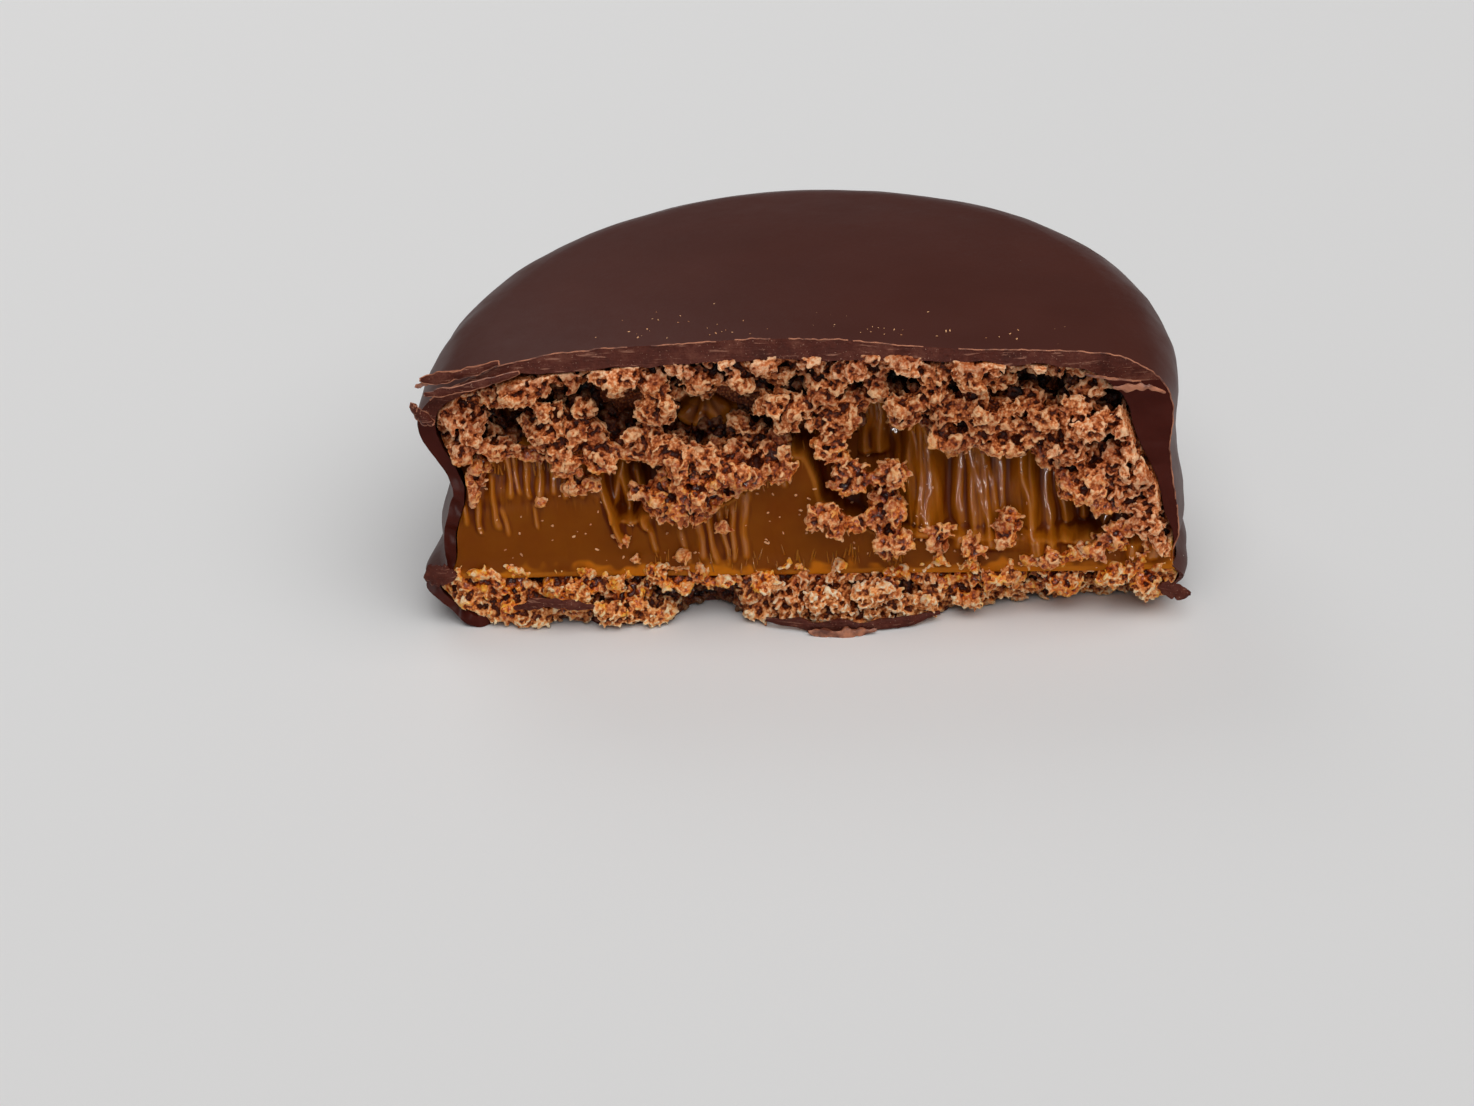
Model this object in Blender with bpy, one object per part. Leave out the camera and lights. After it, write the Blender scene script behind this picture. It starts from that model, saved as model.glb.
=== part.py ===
"""A chocolate-coated alfajor, broken across and resting on its base.

Two biscuits hold a thick layer of milk caramel between them, inside one chocolate coat. A little more than
half of the round cookie is left. Its broken face looks along -Y, +X runs to the right of that face and +Z
is up. Sizes are in millimetres, and new_object() scales them to metres as it makes each mesh.
"""
import math

import bmesh
import bpy
from mathutils import Matrix, Vector, noise

MM = 0.001

# The whole cookie, and where it is broken
COOKIE_RADIUS = 30.0
COOKIE_HEIGHT = 26.2
CROWN_RISE = 2.0                    # how much higher the middle of the top is than its shoulder
BREAK_TO_MIDDLE = 5.9               # from the broken face back to the cookie's middle
BREAK_AZIMUTH = math.asin(BREAK_TO_MIDDLE / COOKIE_RADIUS)

# The chocolate coat
CROWN_COAT = 1.8
BASE_COAT = 0.9
GAP = 0.3                           # between solids that touch on the real cookie

# Each station is (height, distance outside the cookie's radius), from the base up to the shoulder
COAT_SIDE = ((0.0, -1.6), (1.0, -0.2), (3.3, 1.0), (5.2, -0.1), (8.0, 0.5),
             (12.8, 0.3), (17.8, 0.3), (21.0, -0.5), (23.2, -2.6), (24.2, -4.6))
ROOM_SIDE = ((BASE_COAT, -2.9), (1.8, -1.5), (4.8, -1.4), (8.0, -1.1),
             (12.8, -1.0), (17.8, -1.1), (20.6, -2.3), (22.2, -4.6))

# The waist between the biscuits is deep on the left and shallow, and higher up, on the right
WAIST_DEPTH_LEFT, WAIST_DEPTH_RIGHT = 1.2, 0.4
WAIST_HEIGHT_LEFT, WAIST_HEIGHT_RIGHT = 12.4, 15.6
WAIST_SPAN = 3.0

# Beside the break the left end of the coat swells out at two heights: (height, span, how far)
LEFT_SWELLS = ((18.6, 3.4, 1.1), (3.4, 1.8, 1.5))
SWELL_SPREAD = math.radians(21)

# The coat is thickest where it ran into the right-hand shoulder, beside the broken face
CORNER_EXTRA = 2.6
CORNER_FOOT, CORNER_TOP = 12.0, 21.0
CORNER_SPREAD = math.radians(20)

# Layers
FILLING_FLOOR = 4.8
FILLING_TOP = 15.2
LAYER_WAVE = 0.5
# The upper biscuit crumbles down over the filling: (x, half width, drop). A negative drop is a rise
CRUMB_FALLS = ((-28.0, 2.0, 1.8), (-10.0, 3.4, 5.0), (3.8, 2.6, 6.2),
               (9.5, 1.6, -1.2), (22.5, 2.6, 3.5), (27.0, 2.8, 7.5))
FALL_DEPTH = 5.0                    # how far behind the broken face a fall dies out

# Relief of the broken face. Hollows are (x, z, half width, half height, depth)
HOLLOWS = ((-24.0, 18.2, 2.6, 1.2, 2.0), (-13.8, 19.2, 4.2, 1.9, 4.5), (-6.4, 18.7, 4.6, 1.5, 5.0),
           (9.2, 21.4, 2.6, 0.9, 2.0), (17.4, 17.6, 1.0, 1.4, 1.8), (19.4, 21.6, 2.8, 1.3, 3.6),
           (24.6, 19.4, 1.2, 1.8, 2.6), (22.2, 16.0, 3.0, 0.8, 1.8), (22.9, 9.4, 2.2, 1.4, 3.0),
           (-11.8, 12.6, 1.6, 1.4, 1.8), (5.8, 13.4, 2.0, 2.6, 2.8), (-8.4, 0.2, 2.3, 1.4, 3.2))
# Ridges pulled up in the filling are (x, lowest z, highest z, half width, height)
RIDGES = ((8.9, 8.6, 16.0, 0.9, 1.3), (10.6, 8.0, 15.2, 0.8, 0.7), (14.4, 7.6, 14.0, 0.9, 1.0),
          (16.9, 7.2, 13.0, 0.7, 0.7), (18.8, 5.8, 12.6, 0.5, 0.8), (-13.6, 8.0, 13.2, 0.5, 0.8))
LEFT_SHELF = (-21.0, 8.5, 11.2, 1.4)   # x, half width, lower edge and depth of the step in the filling
CRUMB_SIZE, CRUMB_HEIGHT = 3.4, 0.8
SATIN_SIZE, SATIN_HEIGHT = 9.0, 0.3
# How far the break stands forward (negative) along its lower edge and along the crown's rim: (x, depth)
LOWER_EDGE = ((-31.0, -0.3), (-25.0, -1.3), (-16.0, -2.1), (-8.0, -1.0), (0.0, -1.8), (6.0, -1.7),
              (12.0, -0.4), (20.0, 0.9), (31.0, 0.4))
LOWER_EDGE_TOP = 4.8                # height at which the lower edge's lean has died out
RIM_EDGE = ((-31.0, -1.2), (-26.0, -2.0), (-21.0, -0.9), (-3.0, -1.3), (5.0, -1.8), (11.0, -2.4),
            (17.0, -2.0), (25.0, -0.4), (31.0, 0.0))
RIM_START = 19.5                    # height at which the rim's lean starts
FACE_STEP = 1.25                    # grid of the broken face

# The crack that runs into the right-hand shoulder: middle (x, z), length, width, depth and slope
CRACK_MIDDLE = (26.6, 21.5)
CRACK_LENGTH, CRACK_WIDTH, CRACK_DEPTH = 3.8, 0.5, 2.5
CRACK_SLOPE = math.radians(5)

# Loose flakes of the coat: outline points, then the two depths (or heights) between which they lie
UPPER_SPLINTER = ((-30.1, 23.0), (-28.4, 23.15), (-26.9, 23.6), (-24.2, 24.1),
                  (-23.6, 23.7), (-25.4, 22.7), (-28.2, 22.3), (-29.3, 22.5))
LOWER_SPLINTER = ((-29.2, 21.9), (-27.6, 21.95), (-25.7, 22.25), (-24.3, 22.8),
                  (-24.6, 22.35), (-26.2, 21.3), (-28.3, 21.0))
SPLINTER_DEPTHS = (-2.4, -1.85)
BASE_FLAKE = ((0.0, -2.6), (1.8, -3.1), (4.2, -3.0), (5.4, -2.5), (5.2, -2.0), (2.6, -2.1), (0.3, -1.95))
BASE_FLAKE_HEIGHTS = (0.0, 0.6)
FLAKE_BEVEL = 0.12

AZIMUTH_STEPS = 58
CROWN_RINGS = 4


def remove_everything():
    for thing in list(bpy.data.objects):
        bpy.data.objects.remove(thing, do_unlink=True)


def new_material(name, colour, roughness):
    material = bpy.data.materials.new(name)
    material.use_nodes = True
    surface = material.node_tree.nodes["Principled BSDF"]
    surface.inputs["Base Color"].default_value = (*colour, 1.0)
    surface.inputs["Roughness"].default_value = roughness
    surface.inputs["Metallic"].default_value = 0.0
    material.diffuse_color = (*colour, 1.0)
    return material


def new_object(name, shape, material=None):
    """Turn a bmesh in millimetres into an object in metres."""
    bmesh.ops.scale(shape, vec=(MM, MM, MM), verts=shape.verts)
    bmesh.ops.recalc_face_normals(shape, faces=shape.faces)
    mesh = bpy.data.meshes.new(name)
    shape.to_mesh(mesh)
    shape.free()
    mesh.shade_smooth()
    mesh.set_sharp_from_angle(angle=math.radians(40))
    thing = bpy.data.objects.new(name, mesh)
    bpy.context.collection.objects.link(thing)
    if material:
        mesh.materials.append(material)
    return thing


def as_cutter(thing):
    thing.hide_render = True
    thing.display_type = "WIRE"
    return thing


def boolean(thing, cutter, operation):
    step = thing.modifiers.new(cutter.name, "BOOLEAN")
    step.solver = "EXACT"
    step.operation = operation
    step.object = cutter


def ease(value):
    """0 below 0, 1 above 1, and a smooth rise between."""
    value = min(max(value, 0.0), 1.0)
    return value * value * (3.0 - 2.0 * value)


def edge_depth(stations, x):
    """The depth at x on an eased line through (x, depth) stations."""
    for (start, low), (end, high) in zip(stations, stations[1:]):
        if x <= end:
            return low + (high - low) * ease((x - start) / (end - start))
    return stations[-1][1]


def bump(x, z, middle_x, middle_z, half_width, half_height):
    """1 in the middle of an oval, falling to 0 past its edge."""
    distance = ((x - middle_x) / half_width) ** 2 + ((z - middle_z) / half_height) ** 2
    return math.exp(-distance ** 1.5)


# --- the cookie's turned outline ---------------------------------------------------------------

def turn_from(azimuth, other):
    return math.remainder(azimuth - other, 2.0 * math.pi)


def out_of_round(azimuth, height):
    """How far the side stands outside its stations: a waist all round and the swells of the left end."""
    leftness = (1.0 - math.cos(azimuth)) / 2.0
    depth = WAIST_DEPTH_RIGHT + (WAIST_DEPTH_LEFT - WAIST_DEPTH_RIGHT) * leftness
    middle = WAIST_HEIGHT_RIGHT + (WAIST_HEIGHT_LEFT - WAIST_HEIGHT_RIGHT) * leftness
    outward = -depth * math.exp(-((height - middle) / WAIST_SPAN) ** 2)
    beside_break = math.exp(-(turn_from(azimuth, math.pi + BREAK_AZIMUTH) / SWELL_SPREAD) ** 2)
    for swell_height, span, distance in LEFT_SWELLS:
        outward += distance * beside_break * math.exp(-((height - swell_height) / span) ** 2)
    return outward


def corner_thickening(azimuth, height):
    """Extra chocolate inside the right-hand shoulder, at the broken face."""
    rise = ease((height - CORNER_FOOT) / (CORNER_TOP - CORNER_FOOT))
    return CORNER_EXTRA * rise * math.exp(-(turn_from(azimuth, -BREAK_AZIMUTH) / CORNER_SPREAD) ** 2)


def smooth_stations(stations, per_gap):
    """A Catmull-Rom curve through the stations."""
    points = [Vector(station) for station in stations]
    ends = [2 * points[0] - points[1]] + points + [2 * points[-1] - points[-2]]
    curve = []
    for before, start, end, after in zip(ends, ends[1:], ends[2:], ends[3:]):
        for count in range(per_gap):
            t = count / per_gap
            curve.append(0.5 * (2 * start + (end - before) * t
                                + (2 * before - 5 * start + 4 * end - after) * t ** 2
                                + (3 * start - before - 3 * end + after) * t ** 3))
    return curve + [points[-1]]


def turned_body(name, side, crown_height, inset=0.0, inner=False):
    """A closed body turned about the cookie's middle: base, side, shoulder and crown."""
    shape = bmesh.new()
    middle = Vector((0.0, BREAK_TO_MIDDLE, 0.0))
    base_height = side[0][0] + inset
    base_pole = shape.verts.new(middle + Vector((0, 0, base_height)))
    crown_pole = shape.verts.new(middle + Vector((0, 0, crown_height - inset)))
    shoulder_height, shoulder_out = side[-1]
    columns = []
    for step in range(AZIMUTH_STEPS):
        azimuth = 2.0 * math.pi * step / AZIMUTH_STEPS
        around = Vector((math.cos(azimuth), math.sin(azimuth), 0.0))
        column = []
        for height, outward in smooth_stations(side, 1 if inner else 2):
            radius = COOKIE_RADIUS + outward + out_of_round(azimuth, height) - inset
            if inner:
                radius -= corner_thickening(azimuth, height)
            column.append((radius, max(min(height, shoulder_height - inset), base_height)))
        shoulder_radius = column[-1][0]
        for ring in range(1, CROWN_RINGS):
            share = 1.0 - ring / CROWN_RINGS
            height = crown_height - inset - (crown_height - shoulder_height) * share ** 2
            column.append((shoulder_radius * share, height))
        columns.append([shape.verts.new(middle + around * radius + Vector((0, 0, height)))
                        for radius, height in column])
    for left, right in zip(columns, columns[1:] + columns[:1]):
        shape.faces.new((base_pole, left[0], right[0]))
        shape.faces.new((crown_pole, right[-1], left[-1]))
        for low, high in zip(range(len(left) - 1), range(1, len(left))):
            shape.faces.new((left[low], left[high], right[high], right[low]))
    return new_object(name, shape)


# --- blocks between two wavy surfaces ------------------------------------------------------------

def steps(start, end, size):
    count = round((end - start) / size)
    return [start + (end - start) * index / count for index in range(count + 1)]


def wavy_block(name, us, vs, near, far, place):
    """A closed block over the grid us x vs, from the surface near(u, v) to the surface far(u, v)."""
    shape = bmesh.new()
    sheets = [[[shape.verts.new(place(u, v, level(u, v))) for v in vs] for u in us] for level in (near, far)]
    last_u, last_v = len(us) - 1, len(vs) - 1
    for sheet in sheets:
        for i in range(last_u):
            for j in range(last_v):
                shape.faces.new((sheet[i][j], sheet[i + 1][j], sheet[i + 1][j + 1], sheet[i][j + 1]))
    one, two = sheets
    for i in range(last_u):
        for j in (0, last_v):
            shape.faces.new((one[i][j], one[i + 1][j], two[i + 1][j], two[i][j]))
    for j in range(last_v):
        for i in (0, last_u):
            shape.faces.new((one[i][j], one[i][j + 1], two[i][j + 1], two[i][j]))
    return as_cutter(new_object(name, shape))


def filling_top(x, y):
    """Height of the boundary between the filling and the upper biscuit."""
    forward = math.exp(-(max(y, 0.0) / FALL_DEPTH) ** 2)
    level = FILLING_TOP + LAYER_WAVE * noise.noise(Vector((x / 4.0, y / 4.0, 1.7)))
    for middle, half_width, drop in CRUMB_FALLS:
        level -= drop * forward * math.exp(-((x - middle) / half_width) ** 2)
    return level


def filling_floor(x, y):
    return FILLING_FLOOR + 0.4 * LAYER_WAVE * noise.noise(Vector((x / 3.0, y / 3.0, 8.1)))


def broken_face(x, z):
    """How far behind the plane y = 0 the broken face lies, at the place (x, z) on it."""
    shoulder = COOKIE_HEIGHT - CROWN_RISE
    depth = edge_depth(LOWER_EDGE, x) * ease(1.0 - z / LOWER_EDGE_TOP)
    depth += edge_depth(RIM_EDGE, x) * ease((z - RIM_START) / (shoulder - RIM_START))
    for middle_x, middle_z, half_width, half_height, hollow in HOLLOWS:
        depth += hollow * bump(x, z, middle_x, middle_z, half_width, half_height)
    in_filling = filling_floor(x, 0.0) < z < filling_top(x, 0.0)
    in_coat = z > shoulder - CROWN_COAT or abs(x) > COOKIE_RADIUS - 2.0
    if in_filling:
        for middle, lowest, highest, half_width, height in RIDGES:
            along = ease((z - lowest) / 2.0) * ease((highest - z) / 2.0)
            depth -= height * along * math.exp(-((x - middle) / half_width) ** 2)
        shelf_x, half_width, edge, shelf_depth = LEFT_SHELF
        depth += shelf_depth * ease(z - edge) * math.exp(-((x - shelf_x) / half_width) ** 4)
        depth += SATIN_HEIGHT * noise.noise(Vector((x, 0.0, z)) / SATIN_SIZE)
    elif not in_coat:
        depth += CRUMB_HEIGHT * noise.noise(Vector((x, 5.0, z)) / CRUMB_SIZE)
    return depth


def make_crack():
    shape = bmesh.new()
    bmesh.ops.create_cube(shape, size=1.0)
    bmesh.ops.scale(shape, vec=(CRACK_LENGTH, 2.0 * CRACK_DEPTH, CRACK_WIDTH), verts=shape.verts)
    bmesh.ops.rotate(shape, cent=(0, 0, 0), matrix=Matrix.Rotation(-CRACK_SLOPE, 3, "Y"), verts=shape.verts)
    bmesh.ops.translate(shape, vec=(CRACK_MIDDLE[0], 0.0, CRACK_MIDDLE[1]), verts=shape.verts)
    return as_cutter(new_object("crack_cutter", shape))


def make_cutters():
    """The space in front of the break, the crack, and one slab of space for each layer."""
    reach = COOKIE_RADIUS + 6.0
    xs = steps(-reach, reach, FACE_STEP)
    in_front = wavy_block("break_cutter", xs, steps(-3.0, COOKIE_HEIGHT + 3.0, FACE_STEP),
                          lambda x, z: -reach, broken_face, lambda x, z, y: (x, y, z))
    coarse_xs = steps(-reach, reach, 2.0)
    ys = [-5.0, -2.0, -0.5, 1.0, 2.5, 4.5, 8.0, 14.0, 24.0, 42.0]

    def layer(name, low, high):
        return wavy_block(name, coarse_xs, ys, low, high, lambda x, y, z: (x, y, z))

    return {
        "in_front": in_front,
        "crack": make_crack(),
        "upper": layer("upper_slab", lambda x, y: filling_top(x, y) + GAP / 2,
                       lambda x, y: 2 * COOKIE_HEIGHT),
        "middle": layer("middle_slab", lambda x, y: filling_floor(x, y) + GAP / 2,
                        lambda x, y: filling_top(x, y) - GAP / 2),
        "lower": layer("lower_slab", lambda x, y: -COOKIE_HEIGHT, lambda x, y: filling_floor(x, y) - GAP / 2),
    }


# --- the pieces ----------------------------------------------------------------------------------

def make_coat(cutters, chocolate):
    """One shell round the whole cookie, open only at the break."""
    coat = turned_body("chocolate_coat", COAT_SIDE, COOKIE_HEIGHT)
    coat.data.materials.append(chocolate)
    room = as_cutter(turned_body("coat_room", ROOM_SIDE, COOKIE_HEIGHT - CROWN_COAT, inner=True))
    boolean(coat, room, "DIFFERENCE")
    boolean(coat, cutters["in_front"], "DIFFERENCE")
    boolean(coat, cutters["crack"], "DIFFERENCE")
    return coat


def make_layer(name, slab, cutters, material):
    """What fills the coat between two levels, less the part that was broken away."""
    body = turned_body(name, ROOM_SIDE, COOKIE_HEIGHT - CROWN_COAT, inset=GAP, inner=True)
    body.data.materials.append(material)
    boolean(body, cutters[slab], "INTERSECT")
    boolean(body, cutters["in_front"], "DIFFERENCE")
    return body


def make_flake(name, outline, start, end, upright, material):
    """A thin loose plate of the coat. Its outline lies in XZ when upright, or else in XY."""
    def corner(across, up, level):
        return (across, level, up) if upright else (across, up, level)

    shape = bmesh.new()
    face = shape.faces.new([shape.verts.new(corner(across, up, start)) for across, up in outline])
    extruded = bmesh.ops.extrude_face_region(shape, geom=[face])
    moved = [part for part in extruded["geom"] if isinstance(part, bmesh.types.BMVert)]
    bmesh.ops.translate(shape, verts=moved, vec=Vector(corner(0.0, 0.0, end - start)))
    bmesh.ops.recalc_face_normals(shape, faces=shape.faces)
    bmesh.ops.bevel(shape, geom=shape.edges[:], offset=FLAKE_BEVEL, segments=1, affect="EDGES")
    return new_object(name, shape, material)


def stand_on_origin(pieces):
    """Hang every piece on one empty, with the middle of the box's underside at the origin."""
    bpy.context.view_layer.update()
    graph = bpy.context.evaluated_depsgraph_get()
    points = [Vector(corner) for piece in pieces for corner in piece.evaluated_get(graph).bound_box]
    low = [min(point[axis] for point in points) for axis in range(3)]
    high = [max(point[axis] for point in points) for axis in range(3)]
    cookie = bpy.data.objects.new("cookie", None)
    bpy.context.collection.objects.link(cookie)
    for thing in list(bpy.data.objects):
        if thing is not cookie:
            thing.parent = cookie
    cookie.location = (-(low[0] + high[0]) / 2, -(low[1] + high[1]) / 2, -low[2])


def main():
    remove_everything()
    chocolate = new_material("chocolate", (0.062, 0.021, 0.016), 0.35)
    upper_crumb = new_material("upper_crumb", (0.30, 0.13, 0.06), 0.9)
    lower_crumb = new_material("lower_crumb", (0.40, 0.19, 0.085), 0.9)
    caramel = new_material("caramel", (0.16, 0.04, 0.006), 0.3)
    cutters = make_cutters()
    pieces = [
        make_coat(cutters, chocolate),
        make_layer("upper_biscuit", "upper", cutters, upper_crumb),
        make_layer("caramel_filling", "middle", cutters, caramel),
        make_layer("lower_biscuit", "lower", cutters, lower_crumb),
        make_flake("shell_splinter_upper", UPPER_SPLINTER, *SPLINTER_DEPTHS, True, chocolate),
        make_flake("shell_splinter_lower", LOWER_SPLINTER, *SPLINTER_DEPTHS, True, chocolate),
        make_flake("base_flake", BASE_FLAKE, *BASE_FLAKE_HEIGHTS, False, chocolate),
    ]
    stand_on_origin(pieces)


main()
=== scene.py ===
# %% [markdown]
# # A broken alfajor, dressed
# The frame holds the plain solids of this cookie: a chocolate coat, two biscuits, the caramel between them and three
# loose flakes. Here each of them gets its real surface. The coat is turned and then broken with a rough block, the
# biscuits are grown out of crumbs, and the caramel is a sheet that is pushed and pulled.
# Everything is worked out in millimetres from one place, the middle of the lower edge of the break.

import math

import bpy
import numpy as np
from mathutils import Matrix, Vector, noise


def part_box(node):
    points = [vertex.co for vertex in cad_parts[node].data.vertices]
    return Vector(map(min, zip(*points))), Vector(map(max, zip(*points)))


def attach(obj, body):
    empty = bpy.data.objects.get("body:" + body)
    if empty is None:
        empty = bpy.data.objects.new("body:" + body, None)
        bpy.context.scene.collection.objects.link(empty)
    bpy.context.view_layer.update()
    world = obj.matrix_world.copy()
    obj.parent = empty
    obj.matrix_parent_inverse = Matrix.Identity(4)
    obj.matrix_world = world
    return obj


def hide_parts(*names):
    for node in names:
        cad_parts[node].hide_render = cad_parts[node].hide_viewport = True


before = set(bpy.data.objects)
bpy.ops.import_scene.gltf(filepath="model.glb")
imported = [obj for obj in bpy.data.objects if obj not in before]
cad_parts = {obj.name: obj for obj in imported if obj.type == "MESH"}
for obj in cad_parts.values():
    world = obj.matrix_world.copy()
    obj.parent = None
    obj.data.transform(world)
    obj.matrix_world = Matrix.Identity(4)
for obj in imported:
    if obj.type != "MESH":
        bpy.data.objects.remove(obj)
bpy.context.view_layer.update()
coat_low, coat_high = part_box("chocolate_coat")

# %% [markdown]
# The cookie is round, and its left side is a little fuller. The foot of the coat reaches 32.2 mm to the left of
# its middle, and 36.9 mm behind the break. Those two facts and the coat's box give the place that every other
# measure starts from, which is called home.

# %% Home, and millimetres
MM = 0.001
RADIUS = 30.0
MIDDLE_Y = 5.9                      # from the break back to the middle of the cookie
LEFT_REACH, BACK_REACH = 32.218, 36.855
home = Vector((coat_low.x + LEFT_REACH * MM, coat_high.y - BACK_REACH * MM, coat_low.z))


def place(x, y, z):
    """A point given in millimetres from home, as the world sees it."""
    return home + Vector((x, y, z)) * MM


def ease(value):
    """0 below 0, 1 above 1, and a smooth rise between. Works on numbers and on arrays."""
    value = np.clip(value, 0.0, 1.0)
    return value * value * (3.0 - 2.0 * value)


print("home is at", [round(1000 * part, 2) for part in home])

# %% [markdown]
# Most of the work is done in edit mode, as by hand. These small helpers deselect everything first, because an
# operator acts on all that is selected, and they read and write all the points of a mesh at once.

# %% Bench tools
def only(thing):
    """Make this the one selected and active object."""
    bpy.ops.object.select_all(action="DESELECT")
    thing.select_set(True)
    bpy.context.view_layer.objects.active = thing
    return thing


def added(name):
    """Name the object that an operator has just made."""
    thing = bpy.context.object
    thing.name = name
    thing.data.name = name
    return thing


def points_of(thing):
    """The object's points in millimetres from home, one row each."""
    flat = np.empty(len(thing.data.vertices) * 3)
    thing.data.vertices.foreach_get("co", flat)
    return (flat.reshape(-1, 3) - np.array(home)) / MM


def set_points(thing, points):
    thing.data.vertices.foreach_set("co", (points * MM + np.array(home)).ravel())
    thing.data.update()


def apply_modifiers(thing):
    only(thing)
    for step in list(thing.modifiers):
        bpy.ops.object.modifier_apply(modifier=step.name)


def settle(thing):
    """Put the object's place, turn and size into its mesh."""
    only(thing)
    bpy.ops.object.transform_apply(location=True, rotation=True, scale=True)
    return thing


def triangles(thing):
    return sum(len(face.vertices) - 2 for face in thing.data.polygons)


# %% [markdown]
# ## Finishes
# Every finish is a recipe of nodes around one Principled shader. The patterns read Object coordinates, so they
# keep their true size on every piece and don't slide. Three helpers keep the recipes short: one adds a node and
# connects what it is given, one gives a noise of a size in millimetres, and one turns a value into colours.

# %% Recipe tools
def new_finish(name):
    material = bpy.data.materials.new(name)
    material.use_nodes = True
    return material, material.node_tree.nodes["Principled BSDF"]


def feed(material, socket, value):
    """Set a socket to a value, or connect it to another node's output."""
    if isinstance(value, bpy.types.NodeSocket):
        material.node_tree.links.new(value, socket)
    else:
        socket.default_value = value


def add_node(material, kind, inputs, **settings):
    made = material.node_tree.nodes.new("ShaderNode" + kind)
    for name, value in settings.items():
        setattr(made, name, value)
    for name, value in inputs.items():
        feed(material, made.inputs[name], value)
    return made


def where(material, stretch=(1.0, 1.0, 1.0)):
    """Object coordinates in millimetres, stretched along an axis if need be."""
    spot = add_node(material, "TexCoord", {}).outputs["Object"]
    scale = [1.0 / (MM * part) for part in stretch]
    return add_node(material, "Mapping", {"Vector": spot, "Scale": scale}).outputs["Vector"]


def cloudy(material, size, detail=3.0, harsh=0.55, stretch=(1.0, 1.0, 1.0)):
    """Noise from 0 to 1 whose clouds are about this many millimetres across."""
    inputs = {"Vector": where(material, stretch), "Scale": 1.0 / size, "Detail": detail, "Roughness": harsh}
    return add_node(material, "TexNoise", inputs).outputs["Fac"]


def cells(material, size, feature="F1"):
    """The distance to the nearest of many points that lie about this many millimetres apart."""
    inputs = {"Vector": where(material), "Scale": 1.0 / size}
    return add_node(material, "TexVoronoi", inputs, feature=feature)


def between(material, value, low, high, to_low=0.0, to_high=1.0):
    """Stretch the part of a value from low to high over a new range, and clamp the rest."""
    inputs = {"Value": value, "From Min": low, "From Max": high, "To Min": to_low, "To Max": to_high}
    return add_node(material, "MapRange", inputs).outputs["Result"]


def tinted(material, value, stops):
    """Colours along a value: (value, (red, green, blue)), in order."""
    ramp = add_node(material, "ValToRGB", {"Fac": value})
    for spare in list(ramp.color_ramp.elements)[1:]:
        ramp.color_ramp.elements.remove(spare)
    for count, (spot, colour) in enumerate(stops):
        stop = ramp.color_ramp.elements[0] if count == 0 else ramp.color_ramp.elements.new(spot)
        stop.position = spot
        stop.color = (*colour, 1.0)
    return ramp.outputs["Color"]


def mixed(material, share, first, second, blend="MIX"):
    """Mix two colours by a share; each may be a colour or a socket."""
    mix = add_node(material, "Mix", {}, data_type="RGBA", blend_type=blend)
    feed(material, mix.inputs[0], share)
    for socket, colour in ((mix.inputs[6], first), (mix.inputs[7], second)):
        feed(material, socket, (*colour, 1.0) if isinstance(colour, tuple) else colour)
    return mix.outputs[2]


def worked(material, kind, first, second):
    return add_node(material, "Math", {0: first, 1: second}, operation=kind).outputs["Value"]


def bumped(material, shader, height, depth, strength=1.0):
    """Let a height from 0 to 1 stand out by a depth in millimetres."""
    inputs = {"Height": height, "Distance": depth * MM, "Strength": strength}
    below = shader.inputs["Normal"]
    if below.is_linked:
        inputs["Normal"] = below.links[0].from_socket
    feed(material, below, add_node(material, "Bump", inputs).outputs["Normal"])


# %% [markdown]
# Set dark chocolate is satin: it was poured, so it is almost smooth, with a slow unevenness, a fine grain that
# softens its shine, and a few pale specks of dust and sugar. Where it was snapped it is duller, a little redder
# and lighter, with fine scratches and pits along the pull of the break. Where it peeled it is smooth and redder,
# and where it feathered out to nothing it is copper, because light gets into it.

# %% The chocolate's finishes
def make_chocolate_skin():
    material, shader = new_finish("satin_chocolate")
    slow = cloudy(material, 9.0, detail=2.0)
    skin = tinted(material, slow, ((0.3, (0.0650, 0.0148, 0.0088)), (0.7, (0.0750, 0.0180, 0.0112))))
    dots = cells(material, 2.6)
    chosen = between(material, add_node(material, "SeparateColor", {"Color": dots.outputs["Color"]}).outputs["Red"],
                     0.86, 0.87)
    speck = worked(material, "MULTIPLY", between(material, dots.outputs["Distance"], 0.030, 0.020), chosen)
    feed(material, shader.inputs["Base Color"], mixed(material, speck, skin, (0.42, 0.33, 0.28)))
    feed(material, shader.inputs["Roughness"], between(material, cloudy(material, 2.5), 0.3, 0.7, 0.40, 0.50))
    shader.inputs["Specular IOR Level"].default_value = 0.20
    bumped(material, shader, cloudy(material, 0.30, detail=4.0), 0.010)
    bumped(material, shader, cloudy(material, 3.5, detail=2.0), 0.06)
    bumped(material, shader, speck, 0.03)
    return material


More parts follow.
